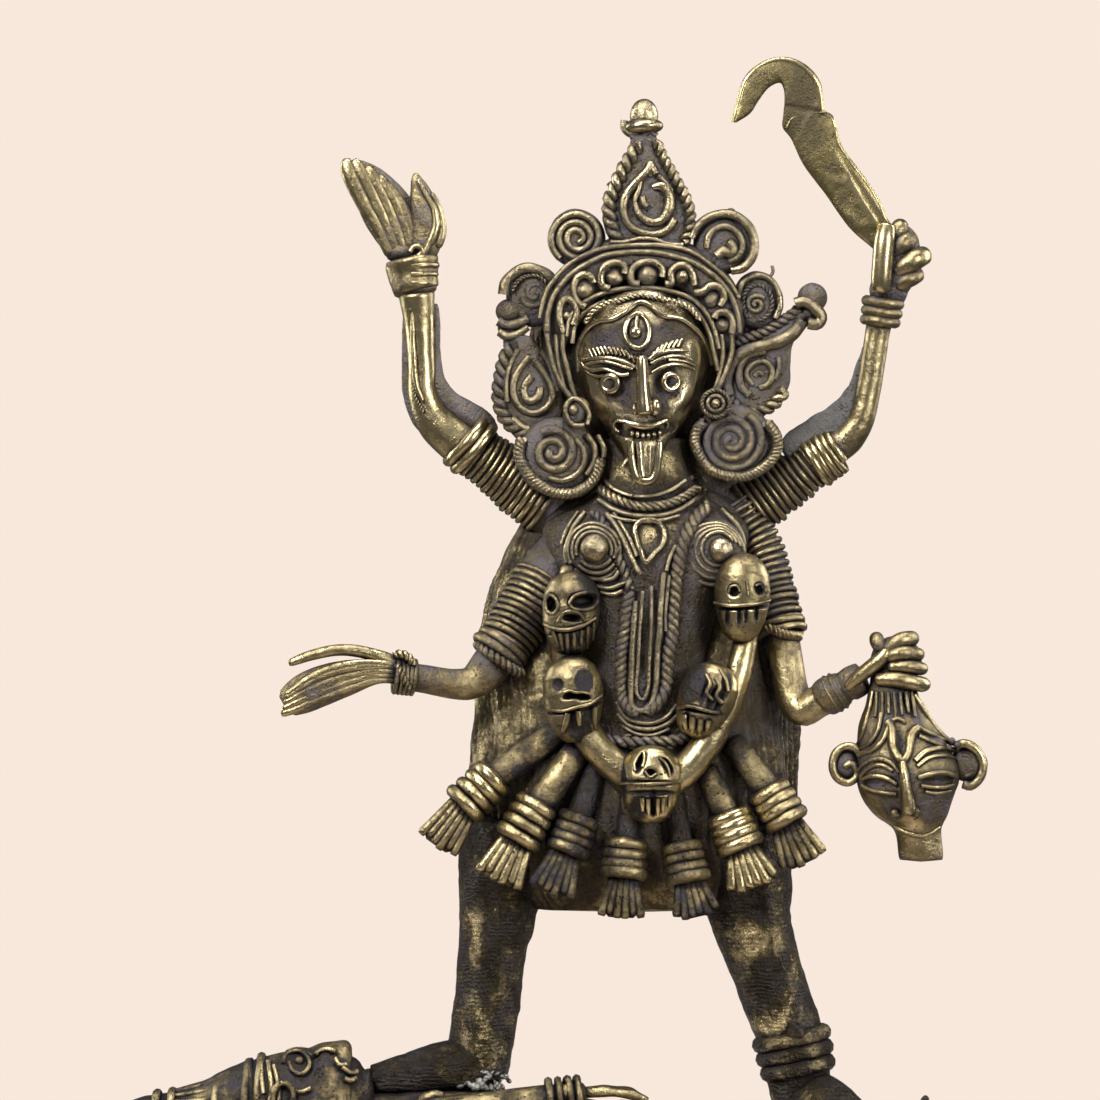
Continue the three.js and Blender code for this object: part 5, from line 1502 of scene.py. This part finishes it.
@dataclass
class Skirt:
    """The skirt of seven cut arms.

    Attributes:
        arms: Each arm's start, wrist and finger tips, its widths at the arm, bracelet and fan, and its wear.
    """

    arms: str = ("-20,-10,109.4,-42.4,-12,94.4,-52.8,-13,79.8,4.4,5,5.8,.6 "
        "-15,-13,106,-29.4,-16,86.4,-37,-17.6,71,4.6,5.2,6.4,.75 "
        "-11,-13,101,-17.4,-16,83.4,-23.4,-17.6,68,3.8,4.6,6.2,.1 "
        "-2,-13,95,-4.2,-16.4,77,-5.2,-17.6,61.6,3.6,4.9,6,.4 8,-13,95,11.2,-16.4,75.6,14.4,-17.6,61.8,3.5,4.5,6,.35 "
        "16.4,-13,100,24,-16,84.2,29.2,-17.6,69.4,3.9,5.2,6.8,.8 "
        "23,-11,107,35.2,-14,90.4,42.2,-15.4,75.4,4.2,5,6.4,.6")

    def build(self, finish: Finish) -> None:
        """Casts the skirt."""
        made = Casting("arm_skirt")
        for row in rows_of(self.arms):
            self._arm(made, np.array(row[:9]).reshape(3, 3), *row[9:])
        made.cast(finish)

    def _arm(self, made: Casting, spots: Array, arm: float, ring: float, fan: float, wear_and_light: float) -> None:
        """Sets one cut arm: the forearm, its bracelet, and the flat hand that opens like a fan.

        Args:
            made: The casting.
            spots: Its start, wrist and finger tips.
            arm: Its width.
            ring: Its bracelet's width.
            fan: Its fingers' spread.
            wear_and_light: How brightly it is rubbed.
        """
        start, wrist, tip = spots
        made.limb([(*start, arm * 0.84), (*(start * 0.5 + wrist * 0.5), arm * 0.86), (*wrist, arm * 0.82)],
            wear_and_light - 0.3, step=1.2, rough=0.25)
        beyond = wrist + (tip - wrist) * 0.26
        before = wrist + (start - wrist) * 0.18
        made.rings((*before, ring * 0.84), (*beyond, ring * 0.92), 4, 1.75, wear_and_light + 0.1)
        made.limb([(*wrist, arm * 0.9), (*beyond, arm * 0.95), (*tip, fan * 0.74)], wear_and_light - 0.3, deep=0.36, sides=32)
        axis = (tip - wrist) / np.linalg.norm(tip - wrist)
        side = np.cross(axis, BACK)
        for n in range(6):
            spread = (n - 2.5) / 2.5
            length = 1 - 0.07 * abs(spread) + 0.05 * sin(n * 2.3 + wrist[0])
            root = beyond + side * spread * arm * 0.66 - BACK * (1.5 - abs(spread))
            end = beyond + (tip - beyond) * length + side * spread * fan * 0.86 - BACK * (1.1 - 0.5 * abs(spread))
            middle = (root + end) / 2 - BACK * 0.4
            made.limb([(*root, 1.15), (*middle, fan * 0.2), (*end, fan * 0.205)], wear_and_light, sides=14, step=0.9,
                rough=0.08)


@dataclass
class Legs:
    """Her legs and feet.

    Attributes:
        chest: The height of Shiva's chest under her right foot.
        thigh: The height of his thigh under her left foot.
    """

    chest: float = 16.0
    thigh: float = 8.0

    def build(self, finish: Finish, crust: Finish) -> None:
        """Casts the legs, and the crumbly repair behind her right heel."""
        made = Casting("legs")
        shin = made.limb("-34,1,86,12.4 -35.8,1,73,11.6 -37.2,1,60,9.9 -38.8,1,49,8.8 -39.8,1,38,8.5 -41.4,1,28,8.4 "
            "-42.8,.6,20,8.2", 0.02, sides=72, step=0.8, rough=0.6)
        made.touch(shin, "-42.6,52,1.8,9,0,0,.35 -37.2,42.9,2.4,8,0,0,.2 -40.6,31.2,2.2,6,0,0,.3 "
            "-35.1,55.9,5,4,0,0,-.4")
        right = made.limb("-36,0,20.6,5.2 -44,-.6,21.4,7.6 -50,-2,21.8,6.8 -60,-3.4,19.4,6.2 -69.7,-4,17.6,4.8", -0.1,
            sides=48, step=0.7, rough=0.3)
        for n in range(5):
            y = -7.6 + 2.2 * n
            made.limb([(-66, y, 19.8, 1.4), (-70.6, y, 18.8, 1.6), (-72.4, y, 17.6, 1.1)], 0.2, sides=12, step=0.7)
        shin = made.limb("26.6,1,84,12.4 28,1,70,11.6 28.8,1,60,10.6 32.2,1,49,9.2 35.6,1,39,8.8 38.8,1,30,8.8 "
            "41,.4,20,8.4 42,0,12.4,7.4", 0.05, sides=72, step=0.8, rough=0.6)
        made.touch(shin, "29.1,55.6,3.6,5.5,0,0,.65 39,42.9,1.6,9,12,0,.4 34.3,33.8,5,3,0,0,.3 32.5,45.5,4,5,0,0,-.5")
        made.rings((39.4, 0.6, 29, 8.2), (41, 0.4, 21.4, 7.8), 3, 2.3, 0.15)
        made.limb("38,.6,32.2,2 39.6,-7.6,31.6,2 42,-8.6,30.4,1.6", 0.1, sides=14, step=0.8)
        left = made.limb("38,4,13.4,5.4 44,-1,13,7.8 49,-8,12,7.2 54,-15,10.6,5", 0, sides=40, step=0.9, rough=0.3,
            across=UP)
        for foot, level in ((right, self.chest), (left, self.thigh)):
            spots = spots_of(foot)
            spots[:, 2] = np.maximum(spots[:, 2], level)
            move(foot, spots)
        made.cast(finish)
        repair = Casting("repair")
        for n in range(74):
            x, z = -47.6 + 0.17 * n + 1.1 * sin(5.1 * n), 19.8 + 2 * sin(3.7 * n) - 0.02 * n
            y = 1.2 - sqrt(max(6, 70 - (x + 42) ** 2)) - (0.5 if x < -44 else 0)
            size = 0.58 + 0.26 * sin(2.3 * n)
            repair.ball((x, y, z), (1.3 * size, 0.8 * size, 0.8 * size), 1.2, 40 * n, 1, segments=12)
        repair.cast(crust)


# Shiva and the plate


@dataclass
class Shiva:
    """Shiva on his back, his head to the left and his face up.

    Attributes:
        outline: His profile from the crown band over the brow, nose and lips to the chin, x, z.
        middle: The y of his face's middle.
    """

    outline: str = ("-104.3,21.3 -99.6,24.4 -96,25.4 -92,26.3 -88.1,26.5 -85,27.6 -82.7,28.6 -79,29 -75.9,29.2 "
        "-74.6,27.6 -75,25.4 -73.6,24.6 -72.6,23.6 -72,22.4 -71.2,21.6 -70.2,22 -69.6,20.6 -69,18 -68.8,15.6")
    middle: float = -8.0

    def build(self, finish: Finish) -> None:
        """Casts him."""
        head = Casting("shiva_head", "shiva_on_plate")
        self._skull(head)
        self._topknot(head)
        self._features(head)
        head.cast(finish)
        man = Casting("shiva_body", "shiva_on_plate")
        self._trunk(man)
        self._arms(man)
        self._legs(man)
        self._flatten(man)
        man.cast(finish)

    def _profile(self) -> Array:
        """His profile as a smooth line."""
        return spline([(x, 0, z) for x, z in rows_of(self.outline)], 0.5)

    def _skull(self, head: Casting) -> None:
        """Skins his face and hair from the profile down."""
        top = self._profile()

        def place(u: Array, v: Array) -> Array:
            """Positions on rings that stand across his face."""
            x, _, z = along(top, v).T
            reach = np.sqrt(np.clip((x + 107) / 9, 0.1, 1)) * np.sqrt(np.clip((-66.6 - x) / 12, 0.12, 1))
            rim = held(v)
            angle = TURN * u
            up = np.sin(angle)
            low = 2 + 4 * np.clip((x + 80) / 12, 0, 1)
            height = np.where(up > 0, z - 13, 13 - low)
            ridge = np.where(up > 0, np.abs(up) ** (1 + 0.5 * np.exp(-(((x + 78) / 5) ** 2))), np.abs(up))
            wide = 12.8 * reach * (1 - 0.16 * np.exp(-(((x + 86) / 3) ** 2)) * np.clip(up, 0, 1))
            y = self.middle + wide * rim * np.cos(angle)
            return np.stack([x, y, 13 + rim * np.sign(up) * ridge * height], axis=1)

        head.skin(place, 72, 120, 0.25, 0.22)
        head.limb("-134,-8,8,3.4 -131.6,-8,8.6,4.6 -128,-8,9,5.6 -121,-8,9.6,6.4 -112,-8,11,7.6 -104,-8,13,9.6 "
            "-98,-8,14,11.4", 0.3, sides=48, step=0.8, across=UP, rough=0.4)

    def _topknot(self, head: Casting) -> None:
        """Winds the hair of the topknot and its bands."""
        for x, z, radius, thick in rows_of("-125.4,8.8,6.9,1.25 -121.6,9.4,6.8,1.15 -110.2,11,8.2,1.25 "
                "-106.2,11.6,8.2,1.25 -102.6,13.2,10.4,1.2 -99.4,13.6,11.4,1.2"):
            ring = [(x + 0.2 * (z - 9) + 0.5 * sin(t), self.middle + radius * cos(t), z + radius * sin(t)) for t
                in circle(28)]
            head.thread(ring, thick, 0.55, closed=True)
        locks = [(TURN * n / 18, "-120,9.4,6.7,0 -115,10.2,7.2,.1 -110,11,7.8,.16") for n in range(18)]
        locks += [(radians(-150 + 20 * n), f"{-134 + 0.3 * n},8,3.4,0 -130,8.8,5.4,0 -126.4,9,6.2,0") for n
            in range(7)]
        for turn, path in locks:
            head.thread([(x, -8 + radius * cos(turn + t), z + radius * sin(turn + t)) for x, z, radius,
                t in rows_of(path)], 0.8, 0.5)

    def _cheek(self, x: float, z: float) -> float:
        """The y of his near cheek at x and z."""
        top = self._profile()
        crest = float(np.interp(x, top[:, 0][:60], top[:, 2][:60]))
        share = min(0.985, max(0, (z - 13) / max(1, crest - 13)))
        reach = sqrt(min(1, max(0.1, (x + 107) / 9))) * sqrt(min(1, max(0.12, (-66.6 - x) / 12)))
        return self.middle - 12.8 * reach * sqrt(1 - share**2)

    def _features(self, head: Casting) -> None:
        """Sets the eyes, brows, lips, ears and the hair at his temple."""
        for side in (1, -1):

            def near(x: float, z: float) -> float:
                """The y of the face on this side."""
                return self.middle + side * (self._cheek(x, z) - self.middle)

            def set_wires(lines: str, wear_and_light: float) -> None:
                """Lays wires, written as for Casting.wires, on this side of the face."""
                for line in lines.split("|"):
                    radius, path = line.split(":")
                    head.thread([(x, near(x, z) - side * 0.2, z) for x, z in traced(path)], float(radius), wear_and_light)

            set_wires(".6: 293,1049 300,1047 308,1050 313,1056 311,1063 304,1067 296,1064 292,1057 | .6: 286,1058 "
                "289,1050 297,1047 306,1048 316,1051 | .7: 318,1050 322,1046 330,1044 338,1046 | .8: 271,1057 "
                "274,1068 276,1082 273,1095 | .7: 277,1060 281,1072 283,1085 281,1098 | .7: 264,1060 266,1072 "
                "268,1086 | .75: 345,1060 350,1064 354,1067 360,1066 | .75: 347,1071 352,1074 358,1072 | .65: "
                "338,1052 342,1058 349,1058 | .6: 286,1076 294,1082 304,1084 314,1080", 0.75)
            x, z = -87.9, 24.4
            head.ball((x, near(x, z) + side * 0.6, z), (1.4, 1.4, 1.3), 0.7, segments=16)
            x, z = -91.8, 16.1
            ring = [(x + 2.6 * cos(t), near(x, z) - side * 0.6, z + 3.4 * sin(t)) for t in circle(16)]
            head.thread(ring, 0.85, 0.6, closed=True)

    def _trunk(self, man: Casting) -> None:
        """Skins his trunk, with the ornament on his chest and the cloth."""
        man.limb("-76,-6,10,9.4 -66,-4,8,12.4 -56,-3,7,14.6 -40,-3,6.2,14.2 -22,-3,5.6,12.4 -6,-3,4.4,12 "
            "8,-3,3.4,10.6", 0.35, sides=72, step=1, deep=0.68, across=UP, rough=0.5)
        for n in range(3):
            line = [(-66 + 3.2 * n, -16.5 + n, 9.6), (-65 + 3.6 * n, -12, 13.2 + 0.3 * n), (-64 + 4 * n, -2, 15.2),
                (-65 + 3.6 * n, 7, 12.8)]
            man.rope(line, 0.95, 0.6, 3.2, across=UP)
        man.limb("-58,-14.4,12.6,.8 -55.4,-14.6,14.4,1.9 -53,-14.6,15.6,1.6 -51,-14.2,16.2,.6", 0.7, sides=16,
            step=0.6, rough=0.15)
        man.rope("-4,-14.6,8.4 -1,-8,12 0,-2,12.4 -1,6,11", 1.5, 0.65, 4.4, across=UP)

    def _arms(self, man: Casting) -> None:
        """Skins his arms: the near one lies on his belly, with a bracelet, and its hand points to his knees."""
        man.limb("-64,-17,9,6.4 -58,-20.4,8.4,5.4 -52.3,-20.6,11.2,4.4 -44,-19,12.6,4 -34,-17.2,13.8,3.8 "
            "-24.7,-16,14.8,3.8 -14,-15,15.4,3.6", 0.55, across=UP, step=0.8)
        man.rings((-23.6, -15.8, 15, 4.6), (-16.2, -15, 15.6, 4.6), 4, 1, 0.7)
        man.ball((-19.4, -18.6, 16.8), (2, 1.6, 2.2), 0.75, segments=16)
        for n in range(5):
            y = -18.2 + 1.7 * n
            man.limb([(-15, -15.8 + 0.7 * n, 16.4, 1.3), (-9.6, y + 0.4, 17 - 0.1 * n, 1.5), (-6.4, y + 0.3, 16.7,
                1.1), (-2.6, y, 16.2, 1.3), (1.8 - 0.5 * n, y - 0.2, 14.8, 0.8)], 0.75, sides=14, step=0.6, across=UP,
                rough=0.1)
        man.limb("-64,10,8,6 -52,17,6.4,5.4 -38,19,5.4,4.6 -24,18,5,4.2 -13,17,4.4,3.4", 0.4, across=UP)
        for n in range(4):
            y = 13.8 + 2 * n
            man.limb([(-17, 16.4 + 0.5 * (n - 1.5), 5, 1.5), (-9, y, 4.6, 1.4), (-3, y, 3.8, 0.9)], 0.5, sides=12,
                step=0.8, across=UP)

    def _legs(self, man: Casting) -> None:
        """Skins his legs and feet."""
        for y, spread in ((-10, -2.6), (4, 2.2)):
            man.limb([(-6, y, 4.6, 8.2), (10, y + spread, 4.2, 7.2), (28, y + 1.5 * spread, 4, 6.2),
                (34, y + 1.6 * spread, 4.4, 6.5), (48, y + 1.7 * spread, 3.8, 5.4), (66, y + 1.8 * spread, 3, 4.2),
                (71, y + 1.8 * spread, 3.4, 4.6)], 0.4, sides=40, across=UP, step=0.9, rough=0.4)
            man.rings((62, y + 1.8 * spread, 3.2, 4.9), (66, y + 1.8 * spread, 3.2, 4.8), 3, 0.9, 0.6)
        for y in (-14.6, 8):
            man.limb([(70, y, 1, 4.2), (72.4, y, 5, 4.2), (74, y, 10.4, 2.8)], 0.5, sides=20)
            for n in range(4):
                man.ball((74.6, y - 2.4 + 1.6 * n, 12.2 - 0.3 * n), (1.1, 0.9, 1.5), 0.6, segments=12)

    def _flatten(self, man: Casting) -> None:
        """Presses him flat where her feet stand."""
        for form in man.forms:
            spots = spots_of(form)
            for left, right, near, far, level in rows_of("-72,-28,-10,8,16 31,61,-19,11,8"):
                under = (spots[:, 0] > left) & (spots[:, 0] < right) & (spots[:, 1] > near) & (spots[:, 1] < far)
                spots[under, 2] = np.minimum(spots[under, 2], level)
            move(form, spots)


@dataclass
class Plate:
    """The low plate with a bead and a row of beads round its edge.

    Attributes:
        length: Its length.
        width: Its width.
        thickness: Its thickness.
        corner: The radius of its corners.
        bead: The radius of the bead round its top edge.
    """

    length: float = 226.0
    width: float = 84.0
    thickness: float = 7.8
    corner: float = 6.0
    bead: float = 1.6

    def build(self, finish: Finish) -> None:
        """Casts the plate."""
        made = Casting("plate", "shiva_on_plate")
        slab = added(bpy.ops.mesh.primitive_cube_add, size=1)
        slab.data.transform(Matrix.Diagonal((self.length * MM, self.width * MM, self.thickness * MM, 1)))
        slab.data.transform(Matrix.Translation((0, 0, self.thickness * MM / 2)))
        bpy.ops.object.mode_set(mode="EDIT")
        mesh = bmesh.from_edit_mesh(slab.data)
        for edge in mesh.edges:
            edge.select_set(abs(edge.verts[0].co.z - edge.verts[1].co.z) > 1e-4)
        bmesh.update_edit_mesh(slab.data)
        bpy.ops.mesh.bevel(offset=self.corner * MM, segments=8, affect="EDGES")
        bpy.ops.mesh.select_all(action="SELECT")
        bpy.ops.mesh.bisect(plane_co=(0, 0, self.thickness * MM * 0.35), plane_no=(0, 0, 1))
        bpy.ops.object.mode_set(mode="OBJECT")
        made.keep(slab, 0.35)
        slab.data.polygons.foreach_set("use_smooth", np.zeros(len(slab.data.polygons), bool))
        made.thread(self._outline(self.bead, 0), self.bead, 0.6, closed=True, step=2)
        made.rope(self._outline(0.4, -5.2), 0.9, 0.55, 3.4, closed=True, across=UP)
        made.cast(finish)

    def _outline(self, inset: float, z: float) -> list[Spot]:
        """The plate's outline, moved in by inset and laid at z in the figure's frame."""
        spots = []
        reach = self.corner - inset
        for n, (a, b) in enumerate(rows_of("1,-1 1,1 -1,1 -1,-1")):
            x = a * (self.length / 2 - self.corner) - FIGURE_ORIGIN[0]
            y = b * (self.width / 2 - self.corner) - FIGURE_ORIGIN[1]
            spots += [(x + reach * cos(t), y + reach * sin(t), z) for t in np.radians(np.linspace(90 * n - 90, 90 * n,
                7))]
        return spots


@dataclass
class Studio:
    """The pale floor, the soft lights and the camera.

    Attributes:
        target: What the camera looks at.
        distance: How far off it stands, in millimetres.
        elevation: How far it looks down, in degrees.
        seen: The width of the view at the target, in millimetres.
    """

    target: Spot = (4.6, 2.0, 163.8)
    distance: float = 1400.0
    elevation: float = 0.0
    seen: float = 286.0

    def build(self) -> None:
        """Sets the studio."""
        self._floor()
        self._sky()
        self._lights()
        self._camera()
        bpy.context.scene.view_settings.view_transform = "Standard"
        bpy.context.scene.view_settings.look = "None"

    def _floor(self) -> None:
        """Lays a round pale floor."""
        floor = added(bpy.ops.mesh.primitive_circle_add, vertices=96, radius=0.19, fill_type="NGON", location=(0, 0,
            -0.0004))
        floor.name = "floor"
        floor.data.materials.append(PlainPaint("pale_floor", (0.5, 0.43, 0.385)).material())

    def _sky(self) -> None:
        """Gives the room its pale ground and the dimmer surround that the brass reflects."""
        world = bpy.data.worlds.new("studio")
        bpy.context.scene.world = world
        world.use_nodes = True
        tree = world.node_tree
        tree.nodes.clear()
        path, seen, around, mix, out = (tree.nodes.new("ShaderNode" + kind) for kind in ("LightPath", "Background",
            "Background", "MixShader", "OutputWorld"))
        seen.inputs["Color"].default_value = (0.939, 0.807, 0.716, 1)
        around.inputs["Color"].default_value = (0.93, 0.9, 0.88, 1)
        around.inputs["Strength"].default_value = 0.11
        tree.links.new(path.outputs["Is Camera Ray"], mix.inputs["Fac"])
        tree.links.new(around.outputs[0], mix.inputs[1])
        tree.links.new(seen.outputs[0], mix.inputs[2])
        tree.links.new(mix.outputs[0], out.inputs["Surface"])

    def _lights(self) -> None:
        """Hangs the soft boxes."""
        for name, spot, size, power in (("key", (-0.65, -1, 0.95), (0.42, 0.5), 17), ("fill", (0.95, -0.9, 0.45),
                (0.3, 0.6), 9), ("top", (0.05, -0.2, 1.3), (0.8, 0.3), 10), ("rim_left", (-0.95, 0.4, 0.4), (0.25,
                0.8), 5), ("rim_right", (0.95, 0.4, 0.5), (0.25, 0.8), 5)):
            box = added(bpy.ops.object.light_add, type="AREA", location=spot)
            box.name = name
            box.data.shape = "RECTANGLE"
            box.data.size, box.data.size_y = size
            box.data.energy = power
            box.data.color = (1, 0.98, 0.95)
            aim = Vector((0.02, 0, 0.16)) - Vector(spot)
            box.rotation_euler = aim.to_track_quat("-Z", "Y").to_euler()

    def _camera(self) -> None:
        """Sets the camera at the photograph's angle."""
        down = radians(self.elevation)
        target = Vector(self.target) * MM
        spot = target - Vector((0, cos(down), -sin(down))) * self.distance * MM
        camera = added(bpy.ops.object.camera_add, location=spot, rotation=(radians(90) - down, 0, 0))
        camera.data.sensor_width = 36
        camera.data.sensor_fit = "HORIZONTAL"
        camera.data.lens = 36 * self.distance / self.seen
        camera.data.clip_start, camera.data.clip_end = 0.05, 20
        bpy.context.scene.camera = camera


def main() -> None:
    """Builds the pieces in order and sets the studio."""
    logging.basicConfig(level=logging.INFO, format="%(message)s")
    lit = {"skin": (0.15, 0.125, 0.095), "bloom": (0.165, 0.152, 0.172), "deep_patina_and_shade": (0.075, 0.066, 0.062)}
    wire = CastBrass("rubbed_brass", -0.05, bright=(0.56, 0.47, 0.3), tarnish=(0.26, 0.215, 0.13), relief=0.75,
        **lit).material()
    arm = CastBrass("arm_brass", 0.16, relief=0.55, **lit).material()
    low_arm = CastBrass("low_arm_brass", -0.08, 2.9, deep_patina_and_shade=(0.018, 0.016, 0.016), relief=0.65).material()
    face = CastBrass("face_brass", 0.54, 2.1, bright=(0.68, 0.575, 0.37), tarnish=(0.28, 0.228, 0.14), skin=(0.09,
        0.074, 0.058), bloom=(0.076, 0.069, 0.088), deep_patina_and_shade=(0.024, 0.021, 0.022), relief=0.85).material()
    skull = CastBrass("skull_brass", 0.2, 2.9, skin=(0.04, 0.034, 0.028), bloom=(0.036, 0.032, 0.044), deep_patina_and_shade=(0.008,
        0.007, 0.008), relief=0.5).material()
    dark = (0.088, 0.071, 0.05)
    hair = CastBrass("hair_brass", 0.2, 2.4, skin=dark, bloomed=0.25).material()
    trunk = CastBrass("trunk_brass", 0, 2.8, skin=dark, bloomed=0.35).material()
    black = {"deep_patina_and_shade": (0.008, 0.007, 0.007)}
    leg = CastBrass("patchy_brass", 0.13, 2.8, Scoring.LEVEL, 1.1, skin=(0.03, 0.023, 0.016), bloomed=0.15,
        relief=1.35, **black).material()
    cloth = CastBrass("dark_brass", 0.1, 2.6, skin=(0.04, 0.032, 0.023), bloom=(0.062, 0.058, 0.075), relief=0.7,
        **black).material()
    blade = CastBrass("blade_brass", 0.28, 1.7, tarnish=(0.27, 0.22, 0.1), skin=(0.11, 0.088, 0.05), bloomed=0,
        relief=0.4).material()
    crust = CastBrass("grey_crust", -0.35, 1.6, bright=(0.46, 0.45, 0.41), tarnish=(0.27, 0.265, 0.25), metal=0.1,
        skin=(0.13, 0.125, 0.12), bloom=(0.135, 0.13, 0.132), deep_patina_and_shade=(0.05, 0.05, 0.05)).material()
    base = CastBrass("base_brass", -0.02, 2.9, skin=(0.045, 0.037, 0.031), bloom=(0.045, 0.04, 0.056), deep_patina_and_shade=(0.012,
        0.011, 0.012), relief=0.8).material()
    Body().build(hair, trunk)
    Face().build(face)
    for part in (Crown(), Curls(), BreastWork()):
        part.build(wire)
    RaisedHandArm().build(arm)
    for part in (GivingArm(), HeadArm()):
        part.build(low_arm)
    Garland().build(skull)
    Skirt().build(cloth)
    SwordArm().build(arm, blade, crust)
    Legs().build(leg, crust)
    for part in (Shiva(), Plate()):
        part.build(base)
    Studio().build()


if __name__ == "__main__":
    main()
